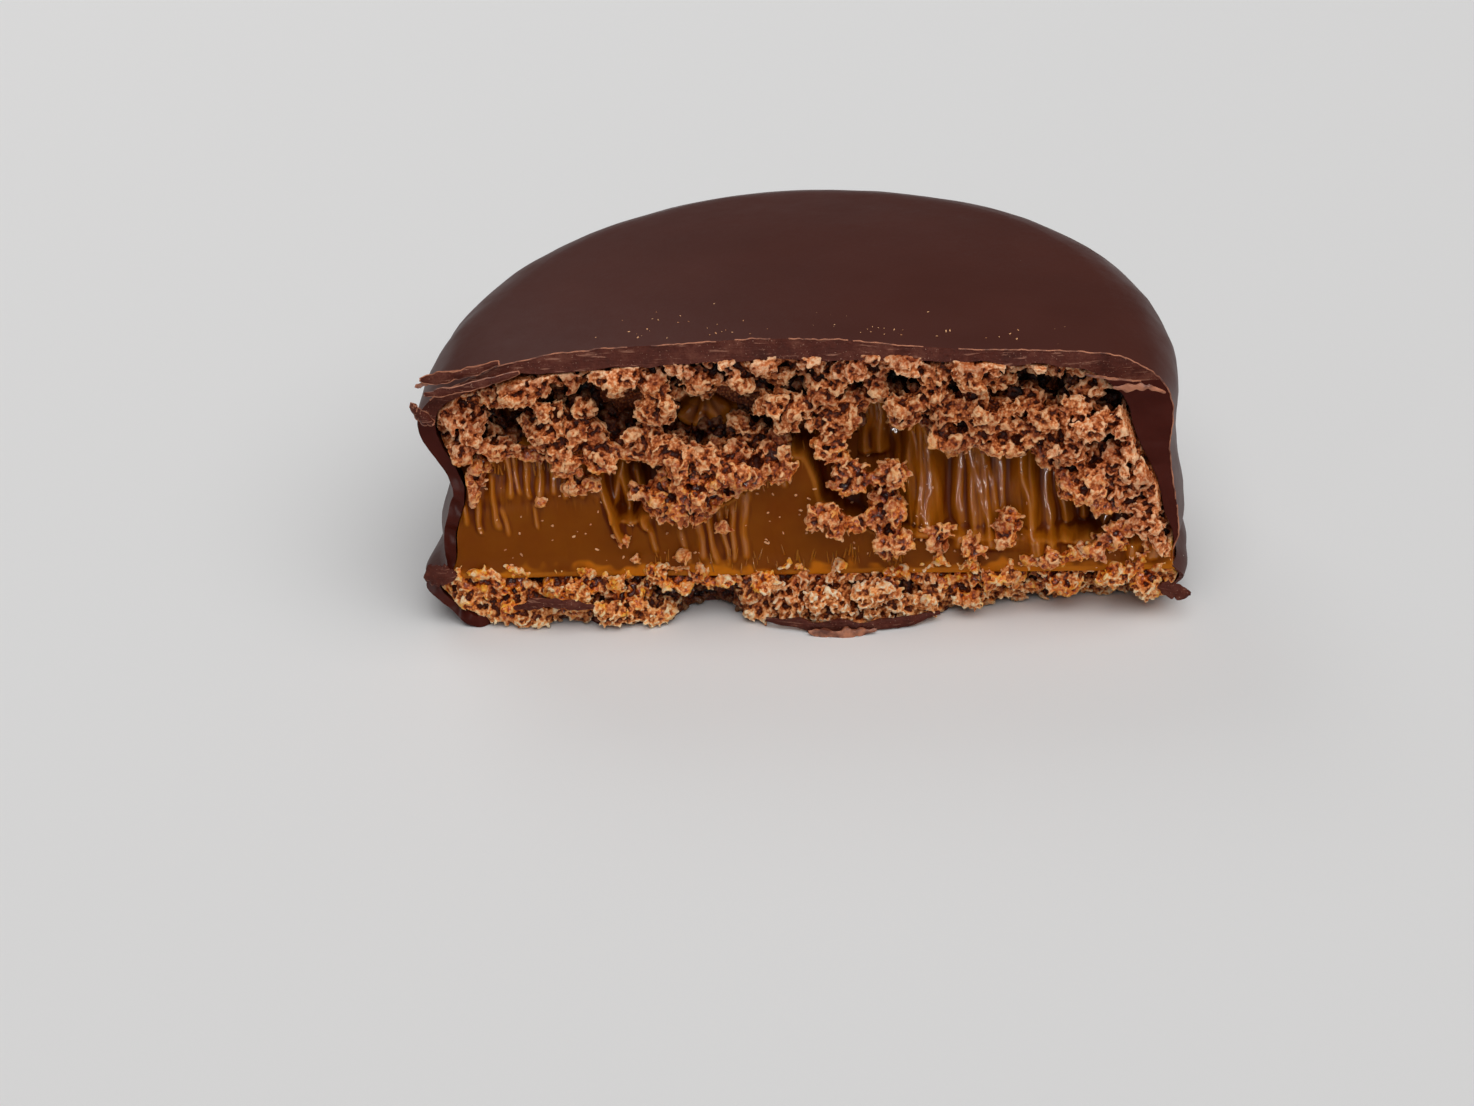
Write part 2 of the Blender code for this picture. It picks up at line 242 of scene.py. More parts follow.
def make_chocolate_break():
    material, shader = new_finish("snapped_chocolate")
    mottled = cloudy(material, 1.6, detail=5.0, harsh=0.65)
    face = tinted(material, mottled, ((0.30, (0.060, 0.0125, 0.0075)), (0.52, (0.098, 0.0215, 0.0130)),
                                      (0.72, (0.175, 0.0560, 0.0350))))
    scratches = cloudy(material, 0.55, detail=3.0, stretch=(4.0, 1.0, 0.35))
    scratched = between(material, scratches, 0.60, 0.68)
    face = mixed(material, scratched, face, (0.30, 0.125, 0.080))
    flecks = between(material, cloudy(material, 0.16, detail=2.0), 0.66, 0.72, 0.0, 0.7)
    feed(material, shader.inputs["Base Color"], mixed(material, flecks, face, (0.42, 0.22, 0.15)))
    feed(material, shader.inputs["Roughness"], between(material, mottled, 0.3, 0.7, 0.42, 0.60))
    shader.inputs["Specular IOR Level"].default_value = 0.06
    bumped(material, shader, cloudy(material, 0.35, detail=4.0), 0.12)
    bumped(material, shader, scratches, 0.08)
    return material


def make_chocolate_flap():
    material, shader = new_finish("peeled_chocolate")
    slow = cloudy(material, 3.0, detail=3.0)
    feed(material, shader.inputs["Base Color"],
         tinted(material, slow, ((0.35, (0.055, 0.0075, 0.0040)), (0.65, (0.070, 0.0110, 0.0062)))))
    feed(material, shader.inputs["Roughness"], between(material, slow, 0.3, 0.7, 0.28, 0.40))
    shader.inputs["Specular IOR Level"].default_value = 0.06
    bumped(material, shader, cloudy(material, 0.8, detail=4.0, stretch=(1.0, 1.0, 3.0)), 0.03)
    return material


def make_chocolate_feather():
    material, shader = new_finish("feathered_chocolate")
    patchy = cloudy(material, 1.1, detail=3.0)
    feed(material, shader.inputs["Base Color"],
         tinted(material, patchy, ((0.36, (0.140, 0.038, 0.020)), (0.58, (0.520, 0.190, 0.095)))))
    feed(material, shader.inputs["Roughness"], between(material, patchy, 0.3, 0.7, 0.40, 0.55))
    shader.inputs["Specular IOR Level"].default_value = 0.35
    bumped(material, shader, cloudy(material, 0.2), 0.03)
    return material


chocolate_skin = make_chocolate_skin()
chocolate_break = make_chocolate_break()
chocolate_flap = make_chocolate_flap()
chocolate_feather = make_chocolate_feather()
print("four chocolate finishes, from", chocolate_skin.name, "to", chocolate_feather.name)

# %% [markdown]
# ## The chocolate coat
# Melted chocolate ran over the cookie and set. It is thick on the crown, thin on the side, hollowed at the waist
# between the two biscuits, and it spread into a foot near the base. A turned shape is the natural start: half an
# outline is drawn by extruding one point from station to station, and spun about the cookie's middle.

# %% Turn an outline
COOKIE_HEIGHT = (coat_high.z - coat_low.z) / MM
CROWN_COAT = 1.8
BASE_COAT = 0.9
# Stations are (height, distance outside the cookie's radius), from the base up to the shoulder
COAT_SIDE = ((0.0, -1.6), (0.35, -0.75), (1.2, -0.15), (2.3, 0.45), (3.2, 0.95), (3.9, 0.7), (5.1, -0.15),
             (6.4, 0.25), (8.0, 0.5), (10.4, 0.4), (12.8, 0.3), (15.4, 0.35), (17.8, 0.3), (19.8, 0.0),
             (21.4, -0.75), (22.7, -1.95), (23.6, -3.4), (24.2, -4.9))
ROOM_SIDE = ((BASE_COAT, -2.0), (1.8, -0.9), (3.4, -0.3), (4.8, -0.8), (8.0, -0.6), (12.8, -0.7),
             (17.8, -0.9), (19.8, -1.2), (21.2, -2.3), (22.3, -3.9), (22.9, -5.0))


def smooth_outline(stations, per_gap):
    """A Catmull-Rom curve through the stations."""
    knots = [Vector(station) for station in stations]
    ends = [2 * knots[0] - knots[1]] + knots + [2 * knots[-1] - knots[-2]]
    curve = []
    for before, start, end, after in zip(ends, ends[1:], ends[2:], ends[3:]):
        for count in range(per_gap):
            t = count / per_gap
            curve.append(0.5 * (2 * start + (end - before) * t
                                + (2 * before - 5 * start + 4 * end - after) * t ** 2
                                + (3 * start - before - 3 * end + after) * t ** 3))
    return curve + [knots[-1]]


def spun(name, side, crown_height, per_gap, crown_rings, steps):
    """Draw half an outline from the base's middle to the crown's, and spin it once round."""
    curve = [(RADIUS + out, height) for height, out in smooth_outline(side, per_gap)]
    (edge_radius, edge_height), base_height = curve[-1], curve[0][1]
    outline = [(0.0, base_height)]
    outline += [(curve[0][0] * part / 6.0, base_height) for part in range(1, 6)] + curve
    for ring in range(1, crown_rings + 1):
        share = 1.0 - ring / crown_rings
        outline.append((edge_radius * share, crown_height - (crown_height - edge_height) * share ** 2))
    corners = [place(radius, MIDDLE_Y, height) for radius, height in outline]
    bpy.ops.mesh.primitive_plane_add(size=MM, location=corners[0])
    thing = added(name)
    settle(thing)
    bpy.ops.object.mode_set(mode="EDIT")
    bpy.ops.mesh.select_all(action="SELECT")
    bpy.ops.mesh.merge(type="CENTER")
    for here, there in zip(corners, corners[1:]):
        bpy.ops.mesh.extrude_region_move(TRANSFORM_OT_translate={"value": there - here})
    bpy.ops.mesh.select_all(action="SELECT")
    bpy.ops.mesh.spin(steps=steps, angle=2.0 * math.pi, center=place(0.0, MIDDLE_Y, 0.0), axis=(0, 0, 1))
    bpy.ops.mesh.select_all(action="SELECT")
    bpy.ops.mesh.remove_doubles(threshold=0.002 * MM)
    bpy.ops.mesh.normals_make_consistent(inside=False)
    bpy.ops.object.mode_set(mode="OBJECT")
    return thing


coat = spun("chocolate_shell", COAT_SIDE, COOKIE_HEIGHT, per_gap=3, crown_rings=26, steps=288)
room = spun("coat_room", ROOM_SIDE, COOKIE_HEIGHT - CROWN_COAT, per_gap=3, crown_rings=26, steps=288)
print("turned the coat:", len(coat.data.vertices), "points, and its room:", len(room.data.vertices))

# %% [markdown]
# A turned shape is too perfect. The real coat has a waist that is deep on the left and shallow on the right, it
# swells beside the left end of the break, and its foot spread more in some places than in others. Each point is
# moved outwards by those laws and by a few slow waves of noise. The inside of the coat follows the outside,
# except in the right-hand shoulder, where the chocolate ran together and set thick, and under the crown, where
# its underside took the print of the biscuit.

# %% Give the coat its unevenness
BREAK_AZIMUTH = math.asin(MIDDLE_Y / RADIUS)
WAIST_DEPTH_LEFT, WAIST_DEPTH_RIGHT = 1.2, 0.4
WAIST_HEIGHT_LEFT, WAIST_HEIGHT_RIGHT = 12.4, 15.6
WAIST_SPAN = 3.0
LEFT_SWELLS = ((18.6, 3.4, 1.1), (3.4, 1.8, 1.4))       # height, span, how far
SWELL_SPREAD = math.radians(21)
CORNER_EXTRA, CORNER_SPREAD = 2.6, math.radians(20)
FOOT_THINNING = 0.9                 # below the corner on the right the coat's wall is thin
FOOT_HEIGHT, FOOT_SPAN = 3.3, 1.5
# How much thinner the crown's coat is along the break: (x, millimetres)
LIP_THINNING = ((-31.0, 0.3), (-25.0, 0.2), (-15.0, 0.1), (-6.0, 0.1), (-2.0, 0.3), (3.0, 0.4), (8.0, 1.0),
                (14.0, 0.8), (19.0, 0.5), (24.0, 0.3), (31.0, 0.0))


def wave(points, size, seed):
    """Slow noise between about -1 and 1, one value for each point."""
    offset = Vector((seed * 17.3, seed * 5.1, seed * 9.7))
    return np.array([noise.noise(Vector(point) / size + offset) for point in points]) * 1.6


def around_middle(points):
    across, along = points[:, 0], points[:, 1] - MIDDLE_Y
    return np.hypot(across, along), np.arctan2(along, across)


def turn_from(azimuth, other):
    return np.remainder(azimuth - other + math.pi, 2.0 * math.pi) - math.pi


def out_of_round(azimuth, height):
    """How far the side stands outside its stations: a waist all round and the swells of the left end."""
    leftness = (1.0 - np.cos(azimuth)) / 2.0
    depth = WAIST_DEPTH_RIGHT + (WAIST_DEPTH_LEFT - WAIST_DEPTH_RIGHT) * leftness
    middle = WAIST_HEIGHT_RIGHT + (WAIST_HEIGHT_LEFT - WAIST_HEIGHT_RIGHT) * leftness
    outward = -depth * np.exp(-((height - middle) / WAIST_SPAN) ** 2)
    beside_break = np.exp(-(turn_from(azimuth, math.pi + BREAK_AZIMUTH) / SWELL_SPREAD) ** 2)
    for swell_height, span, distance in LEFT_SWELLS:
        outward += distance * beside_break * np.exp(-((height - swell_height) / span) ** 2)
    return outward


def right_corner(azimuth, height):
    """How much thicker the coat's wall is at the right end of the break: thick in the shoulder, thin at the foot."""
    beside = np.exp(-(turn_from(azimuth, -BREAK_AZIMUTH) / CORNER_SPREAD) ** 2)
    thin_foot = ease((height - 0.9) / 0.8) * ease((10.5 - height) / 4.0)
    return beside * (CORNER_EXTRA * ease((height - 11.0) / 10.0) - FOOT_THINNING * thin_foot)


def move_outwards(points, distance):
    radius, azimuth = around_middle(points)
    share = np.clip(radius / RADIUS, 0.0, 1.0) ** 2
    points[:, 0] += np.cos(azimuth) * distance * share
    points[:, 1] += np.sin(azimuth) * distance * share


def along_edge(stations, x, softness=2.0):
    """The value at each x, on a softened line through the stations."""
    places, values = zip(*stations)
    return sum(np.interp(x + softness * shift, places, values) for shift in (-1.0, -0.5, 0.0, 0.5, 1.0)) / 5.0


def shape_outside(thing):
    points = points_of(thing)
    radius, azimuth = around_middle(points)
    height = points[:, 2]
    outward = out_of_round(azimuth, height)
    foot = np.exp(-((height - FOOT_HEIGHT) / FOOT_SPAN) ** 2)
    side = ease(height / 2.0) * ease((COOKIE_HEIGHT - height) / 4.0)
    outward += 0.16 * side * wave(points, 7.0, 1) + 0.10 * side * wave(points, 2.6, 2)
    outward += 0.26 * foot * wave(points * (1.0, 1.0, 0.3), 4.0, 3) - 0.10 * foot
    on_crown = ease((height - 22.0) / 3.0)
    move_outwards(points, outward)
    points[:, 2] += 0.10 * on_crown * (wave(points, 12.0, 4) - 0.6)
    set_points(thing, points)


def shape_room(thing):
    points = points_of(thing)
    radius, azimuth = around_middle(points)
    height = points[:, 2]
    move_outwards(points, out_of_round(azimuth, height) - right_corner(azimuth, height) + 0.12 * wave(points, 1.6, 5))
    under_crown = ease((height - 21.0) / 2.0) * ease((radius + 4.0) / RADIUS)
    near_break = np.exp(-(points[:, 1] / 5.0) ** 2)
    points[:, 2] += under_crown * (0.26 * wave(points, 3.2, 6) + 0.16 * wave(points, 1.0, 7)
                                   + near_break * along_edge(LIP_THINNING, points[:, 0]))
    set_points(thing, points)


shape_outside(coat)
shape_room(room)

# %% [markdown]
# ## The break
# The cookie was snapped, not cut. Its broken face leans and waves: the rim of the crown and the lower edge stand a
# little forward, bits of the base coat are missing, and the lip slopes back towards the rim. The same law is used for
# the coat's broken edge and, later, for where the biscuits begin.

# %% The law of the break
# How far the break stands forward (negative) along its lower edge and along the crown's rim: (x, depth)
LOWER_EDGE = ((-31.0, -0.3), (-25.0, -1.3), (-16.0, -2.1), (-8.0, -1.0), (0.0, -1.8), (6.0, -1.7),
              (12.0, -0.4), (15.0, 0.9), (20.0, 1.9), (26.0, 2.7), (31.0, 2.7))
LOWER_EDGE_TOP = 4.8
RIM_EDGE = ((-31.0, -1.2), (-26.0, -2.0), (-21.0, -0.9), (-3.0, -1.3), (5.0, -1.8), (11.0, -2.4),
            (17.0, -2.0), (25.0, -0.4), (31.0, 0.0))
RIM_START, RIM_SPAN = 19.5, 4.7
LIP_START, LIP_SLOPE = 23.0, 0.30
# Places where the base coat broke away: middle x, half width, how far up, how far back
BASE_BITES = ((-8.4, 2.6, 1.4, 3.0), (20.5, 7.0, 0.9, 0.6), (-19.5, 1.6, 0.6, 1.0), (12.4, 1.2, 0.8, 1.2))
BASE_SET_BACK = 1.3                 # the thin base coat crumbled away behind the crumb's edge


def lean_of_break(x, z):
    """How far the break lies behind the plane y = 0, without its roughness."""
    depth = along_edge(LOWER_EDGE, x) * ease(1.0 - z / LOWER_EDGE_TOP)
    return depth + along_edge(RIM_EDGE, x) * ease((z - RIM_START) / RIM_SPAN)


def break_of_coat(x, z):
    depth = lean_of_break(x, z)
    depth += LIP_SLOPE * np.clip(z - LIP_START, 0.0, 4.0)
    for middle, half_width, height, back in BASE_BITES:
        depth += back * np.exp(-(np.abs(x - middle) / half_width) ** 4) * ease(1.6 - z / height)
    flat = np.column_stack([x, np.zeros_like(x), z])
    rough = 0.10 * wave(flat, 2.2, 11) + 0.05 * wave(flat, 0.7, 12)
    depth += BASE_SET_BACK * ease((1.5 - z) / 0.7) * ease((27.6 - np.abs(x)) / 2.0)
    left_wall = ease((-27.0 - x) / 1.5) * ease((16.0 - z) / 3.0)
    return depth + rough + left_wall * (0.5 * wave(flat, 1.7, 13) + 0.25)


# %% [markdown]
# The tool that breaks the coat is a block whose back is that rough face. A fine grid is stood upright, its points
# are set back by the law, and it is extruded forwards into a closed block.

# %% The breaking block
def upright_grid(name, left, right, low, high, cell):
    """A grid that stands in the plane y = 0, facing the front."""
    bpy.ops.mesh.primitive_grid_add(x_subdivisions=round((right - left) / cell),
                                    y_subdivisions=round((high - low) / cell), size=MM)
    sheet = added(name)
    sheet.scale = (right - left, high - low, 1.0)
    sheet.rotation_euler = (math.pi / 2.0, 0.0, 0.0)
    sheet.location = place((left + right) / 2.0, 0.0, (low + high) / 2.0)
    return settle(sheet)


def thicken(sheet, distance):
    """Extrude a sheet along Y into a closed block."""
    only(sheet)
    bpy.ops.object.mode_set(mode="EDIT")
    bpy.ops.mesh.select_all(action="SELECT")
    bpy.ops.mesh.extrude_region_move(TRANSFORM_OT_translate={"value": (0.0, distance * MM, 0.0)})
    bpy.ops.mesh.select_all(action="SELECT")
    bpy.ops.mesh.normals_make_consistent(inside=False)
    bpy.ops.object.mode_set(mode="OBJECT")


block = upright_grid("coat_break", -36.0, 36.0, -3.0, 30.0, cell=0.3)
points = points_of(block)
points[:, 1] = break_of_coat(points[:, 0], points[:, 2])
set_points(block, points)
thicken(block, -30.0)
print("the breaking block has", len(block.data.polygons), "faces")

# %% Break the coat open
def joined(things, name):
    only(things[0])
    for thing in things:
        thing.select_set(True)
    bpy.ops.object.join()
    return added(name)


def cut_away(thing, cutter):
    step = thing.modifiers.new(cutter.name, "BOOLEAN")
    step.operation = "DIFFERENCE"
    step.solver = "EXACT"
    step.material_mode = "TRANSFER"
    step.object = cutter
    apply_modifiers(thing)
    bpy.data.objects.remove(cutter, do_unlink=True)


coat.data.materials.append(chocolate_skin)
room.data.materials.append(chocolate_break)
block.data.materials.append(chocolate_break)
cut_away(coat, room)
cut_away(coat, block)

# %% [markdown]
# The lip is cracked in two places, where the splinters lifted on the left and beside a small hole on the right.
# A crack is a long thin diamond: a cube whose sides are pulled to a point, driven into the broken face.

# %% Cracks in the lip
def wedge(name, start, end, width, depth):
    """A diamond between two places of the lip, given as (x, y, z)."""
    start, end = place(*start), place(*end)
    bpy.ops.mesh.primitive_cylinder_add(vertices=8, radius=0.5, depth=1.0, end_fill_type="TRIFAN")
    thing = added(name)
    thing.scale = (depth * MM, width * MM, 1.0)
    settle(thing)
    for point in thing.data.vertices:
        share = abs(point.co.z) * 2.0
        point.co.x *= 1.0 - 0.9 * share
        point.co.y *= 1.0 - 0.9 * share
    run = end - start
    thing.scale = (1.0, 1.0, run.length)
    thing.rotation_euler = run.to_track_quat("Z", "X").to_euler()
    thing.location = (start + end) / 2.0
    return settle(thing)


CRACKS = (((-26.3, -1.9, 22.3), (-22.6, -0.9, 23.4), 0.34, 2.6), ((23.6, -1.2, 21.7), (28.9, -0.6, 21.2), 0.62, 3.4),
          ((22.0, -1.6, 23.6), (23.4, -1.5, 23.4), 0.80, 3.0), ((-28.9, -1.4, 20.4), (-25.4, -1.9, 22.6), 0.22, 1.6),
          ((14.0, -2.0, 24.6), (18.5, -1.7, 24.7), 0.16, 1.4), ((-3.6, -1.5, 24.5), (-1.8, -1.5, 24.9), 0.14, 1.2))
cracks = joined([wedge("crack", *row) for row in CRACKS], "cracks")
cracks.data.materials.append(chocolate_break)
cut_away(coat, cracks)
only(coat)
bpy.ops.object.shade_smooth_by_angle(angle=math.radians(38))
print("the coat has", triangles(coat), "triangles")

# %% [markdown]
# In the shoulder on the right the chocolate peeled off smooth, like a flap, and it kept its shine; so did the thin
# wall on the left. Those faces of the break get a finish of their own, picked by their place.

# %% The smooth flap
def face_centres(thing):
    flat = np.empty(len(thing.data.polygons) * 3)
    thing.data.polygons.foreach_get("center", flat)
    return (flat.reshape(-1, 3) - np.array(home)) / MM


centres = face_centres(coat)
kinds = np.empty(len(centres), dtype=np.int32)
coat.data.materials.append(chocolate_flap)
coat.data.polygons.foreach_get("material_index", kinds)
flap = (kinds == 1) & (centres[:, 0] > 24.0) & (centres[:, 2] > 5.0) & (centres[:, 2] < 21.6) & (centres[:, 1] < 2.5)
flap |= (kinds == 1) & (centres[:, 0] < -26.0) & (centres[:, 2] < 19.0) & (centres[:, 1] < 2.5)
kinds[flap] = 2
coat.data.polygons.foreach_set("material_index", kinds)
print("the flap has", int(flap.sum()), "faces")

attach(coat, "root")
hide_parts("chocolate_coat")

# %% [markdown]
# Snapping left a paper-thin feather of chocolate along the rim, and light shining into it makes a copper line.
# The rim's own edge is copied: the edges between skin and break are duplicated, separated and turned into a
# curve, which a small bevel makes round and which becomes a mesh again.

# %% The copper rim
def copied_edges(thing, chosen, name):
    """Copy some edges of a mesh, by their numbers, into an object of their own."""
    only(thing)
    bpy.ops.object.mode_set(mode="EDIT")
    bpy.ops.mesh.select_mode(type="EDGE")
    bpy.ops.mesh.select_all(action="DESELECT")
    bpy.ops.object.mode_set(mode="OBJECT")
    marks = np.zeros(len(thing.data.edges), dtype=bool)
    marks[chosen] = True
    thing.data.edges.foreach_set("select", marks)
    bpy.ops.object.mode_set(mode="EDIT")
    bpy.ops.mesh.duplicate()
    bpy.ops.mesh.separate(type="SELECTED")
    bpy.ops.mesh.select_mode(type="VERT")
    bpy.ops.object.mode_set(mode="OBJECT")
    line = next(other for other in bpy.context.selected_objects if other is not thing)
    line.name = line.data.name = name
    return only(line)


def border_edges(thing):
    """Edges with skin on one side and break on the other, near the crown's rim."""
    kinds_at = {}
    for face in thing.data.polygons:
        for pair in face.edge_keys:
            kinds_at.setdefault(pair, set()).add(min(face.material_index, 1))
    spots = points_of(thing)
    chosen = []
    for edge in thing.data.edges:
        middle = (spots[edge.vertices[0]] + spots[edge.vertices[1]]) / 2.0
        if len(kinds_at.get(edge.key, ())) == 2 and middle[2] > 6.0 and middle[1] < 3.0 and abs(middle[0]) > 1e-6:
            if (middle[2] > 21.0 or middle[0] > 20.0) and wave(middle[None, :], 2.4, 34)[0] > -0.65:
                chosen.append(edge.index)
    return chosen


rim = copied_edges(coat, border_edges(coat), "copper_rim")
bpy.ops.object.mode_set(mode="EDIT")
bpy.ops.mesh.select_all(action="SELECT")
bpy.ops.mesh.remove_doubles(threshold=0.02 * MM)
bpy.ops.object.mode_set(mode="OBJECT")
bpy.ops.object.convert(target="CURVE")
rim.data.bevel_depth = 0.055 * MM
rim.data.bevel_resolution = 1
rim.data.use_fill_caps = True
bpy.ops.object.convert(target="MESH")
points = points_of(rim)
points += 0.05 * np.column_stack([wave(points, 0.5, seed) for seed in (31, 32, 33)])
set_points(rim, points)
rim.data.materials.clear()
rim.data.materials.append(chocolate_feather)
bpy.ops.object.shade_smooth()
print("the rim has", triangles(rim), "triangles")
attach(rim, "root")

# %% [markdown]
# ## What fills the coat
# Caramel and crumb fill the coat's room and never poke through it. The room's own law gives the limit, so each
# piece is simply pulled in where it would reach too far.

# %% What keeps the filling inside the coat
# The underside of the upper biscuit, which tore unevenly from the caramel: (x, z)
UNDERSIDE = ((-29.5, 16.6), (-28.5, 15.8), (-26.0, 15.5), (-22.0, 15.4), (-21.0, 14.9), (-17.5, 14.7),
             (-16.5, 15.4), (-14.5, 15.6), (-13.0, 15.2), (-10.0, 14.8), (-1.5, 15.2), (-0.5, 16.6), (0.8, 16.6),
             (1.5, 15.8), (3.8, 16.4), (4.6, 18.4), (7.0, 18.5), (8.0, 17.3), (11.0, 16.7), (12.0, 15.4),
             (16.5, 15.2), (18.0, 15.9), (19.0, 15.0), (20.0, 13.6), (24.0, 13.0), (25.0, 11.2), (26.0, 9.0),
             (27.4, 6.6), (29.5, 5.6))


def inside_room(points, gap=0.15):
    """Pull points back inside the coat's room."""
    radius, azimuth = around_middle(points)
    height = points[:, 2]
    heights, outs = zip(*ROOM_SIDE)
    reach = RADIUS + np.interp(height, heights, outs) + out_of_round(azimuth, height) - right_corner(azimuth, height) - gap
    share = np.minimum(1.0, reach / np.maximum(radius, 0.01))
    points[:, 0] *= share
    points[:, 1] = MIDDLE_Y + (points[:, 1] - MIDDLE_Y) * share
    under_crown = COOKIE_HEIGHT - CROWN_COAT - 2.2 * np.clip(radius / (RADIUS - 4.6), 0.0, 1.2) ** 2 + 0.1
    under_crown += np.exp(-(points[:, 1] / 5.0) ** 2) * along_edge(LIP_THINNING, points[:, 0])
    points[:, 2] = np.minimum(points[:, 2], under_crown)
    return points


# %% [markdown]
# Colour follows the shape: the tips of the crumbs are pale, partly for the dry crumb and partly as painted light, and
# the clefts are dark as painted shade. To know which is which, the surface is compared with a smoothed copy of itself.
# A point that stands outside the smooth copy is a tip.

# %% Measure tips and clefts
def smoothed(points, edges, rounds):
    """The points after each has moved to the mean of its neighbours, a number of times."""
    ends = np.concatenate([edges[:, 0], edges[:, 1]])
    others = np.concatenate([edges[:, 1], edges[:, 0]])
    neighbours = np.bincount(ends, minlength=len(points))[:, None]
    for _ in range(rounds):
        total = np.column_stack([np.bincount(ends, weights=points[others, axis], minlength=len(points))
                                 for axis in range(3)])
        points = total / np.maximum(neighbours, 1)
    return points


def mark_tips(thing, fine, broad):
    """Store how far each point stands out, over a fine and a broad neighbourhood, as 0 to 1."""
    points = points_of(thing)
    edges = np.empty(len(thing.data.edges) * 2, dtype=np.int64)
    thing.data.edges.foreach_get("vertices", edges)
    normals = np.empty(len(points) * 3)
    thing.data.vertices.foreach_get("normal", normals)
    soft = points
    for name, rounds, reach in (("fine_tip", fine, 0.10), ("broad_tip", broad, 0.36)):
        soft = smoothed(soft, edges.reshape(-1, 2), rounds)
        height = ((points - soft) * normals.reshape(-1, 3)).sum(axis=1)
        store(thing, name, 0.5 + 0.5 * height / reach)


def mark_depth(thing, shallow, deep):
    """Store how deep each point lies in a cave of the break, as 0 to 1; the crumb's finish darkens by it as painted
    shade.
    """
    points = points_of(thing)
    behind = points[:, 1] - lean_of_break(points[:, 0], points[:, 2])
    store(thing, "cave", ease((behind - shallow) / (deep - shallow)))


def trim(thing, at, facing):
    """Cut a thing with a plane, drop what lies beyond it, and close the cut."""
    only(thing)
    bpy.ops.object.mode_set(mode="EDIT")
    bpy.ops.mesh.select_all(action="SELECT")
    bpy.ops.mesh.bisect(plane_co=place(*at), plane_no=facing, use_fill=True, clear_outer=True)
    bpy.ops.object.mode_set(mode="OBJECT")


def in_parts(thing, cuts, names):
    """Cut a long body across at some x into parts, so that no single mesh is too heavy."""
    parts = []
    for name, left, right in zip(names, (None,) + cuts, cuts + (None,)):
        only(thing)
        bpy.ops.object.duplicate()
        part = added(name)
        if left is not None:
            trim(part, (left, 0.0, 0.0), (-1, 0, 0))
        if right is not None:
            trim(part, (right, 0.0, 0.0), (1, 0, 0))
        print(name, "has", triangles(part), "triangles")
        parts.append(part)
    bpy.data.objects.remove(thing, do_unlink=True)
    return parts


def rest_of_layer(name, side, top, finish):
    """The plain remainder of a layer, behind its detailed front, out of sight inside the coat."""
    layer = spun(name, side, top, per_gap=1, crown_rings=4, steps=96)
    points = points_of(layer)
    radius, azimuth = around_middle(points)
    move_outwards(points, out_of_round(azimuth, points[:, 2]) - np.maximum(right_corner(azimuth, points[:, 2]), 0.0))
    set_points(layer, points)
    trim(layer, (0.0, 4.0, 0.0), (0, -1, 0))
    for mark in ("fine_tip", "broad_tip"):
        store(layer, mark, np.full(len(layer.data.vertices), 0.5))
    layer.data.materials.append(finish)
    print(name, "has", triangles(layer), "triangles")
    return layer


def store(thing, name, values):
    layer = thing.data.attributes.new(name, "FLOAT", "POINT")
    layer.data.foreach_set("value", np.clip(values, 0.0, 1.0).astype(np.float32))


# %% [markdown]
# ## The caramel
# Thick milk caramel tears when the cookie is snapped. Low down it was cut smooth; higher up it was pulled into
# upright ridges and threads, with deep amber pockets between them. It could be sculpted, but a sheet whose points
# are pushed and pulled by named features is exact and can be put right one feature at a time. The sheet starts as
# an upright grid, fine enough to carry the threads.

# %% The shape of the torn face
# The top of the smooth lower face: (x, z)
SMOOTH_TOP = ((-29.5, 10.2), (-27.0, 10.6), (-22.0, 11.2), (-17.8, 11.6), (-16.4, 10.6), (-15.0, 9.2),
              (-14.5, 9.0), (-13.0, 9.8), (-10.5, 9.4), (-7.0, 10.4), (-3.5, 12.7), (-0.6, 15.2), (0.4, 14.6),
              (0.9, 12.4), (1.4, 10.2), (3.0, 9.0), (5.0, 8.0), (6.6, 7.0), (8.0, 7.6), (12.0, 7.4), (16.0, 7.4),
              (20.0, 7.0), (24.0, 6.6), (29.5, 6.6))
# How far the torn face leans back towards its top: (x, depth)
TORN_LEAN = ((-29.5, 0.7), (-17.0, 0.7), (-12.0, 1.6), (0.0, 2.2), (6.0, 2.6), (29.5, 2.6))
# How far back the torn face lies above the smooth one: (x, depth)
TORN_DEPTH = ((-29.5, 1.6), (-27.5, 0.9), (-25.5, 0.5), (-18.0, 0.6), (-17.0, 0.9), (-15.6, 1.5), (-13.5, 2.2),
              (-10.0, 2.2), (-4.0, 1.8), (0.0, 1.2), (1.5, 2.0), (3.5, 2.4), (4.6, 1.9), (6.4, 1.8), (7.2, 2.6),
              (8.0, 0.9), (10.4, 0.7), (11.4, 1.6), (12.2, 1.3), (13.2, 0.8), (15.0, 0.8), (16.0, 1.0),
              (17.6, 0.8), (19.2, 1.3), (20.6, 2.0), (23.0, 2.8), (25.0, 2.2), (29.5, 2.0))
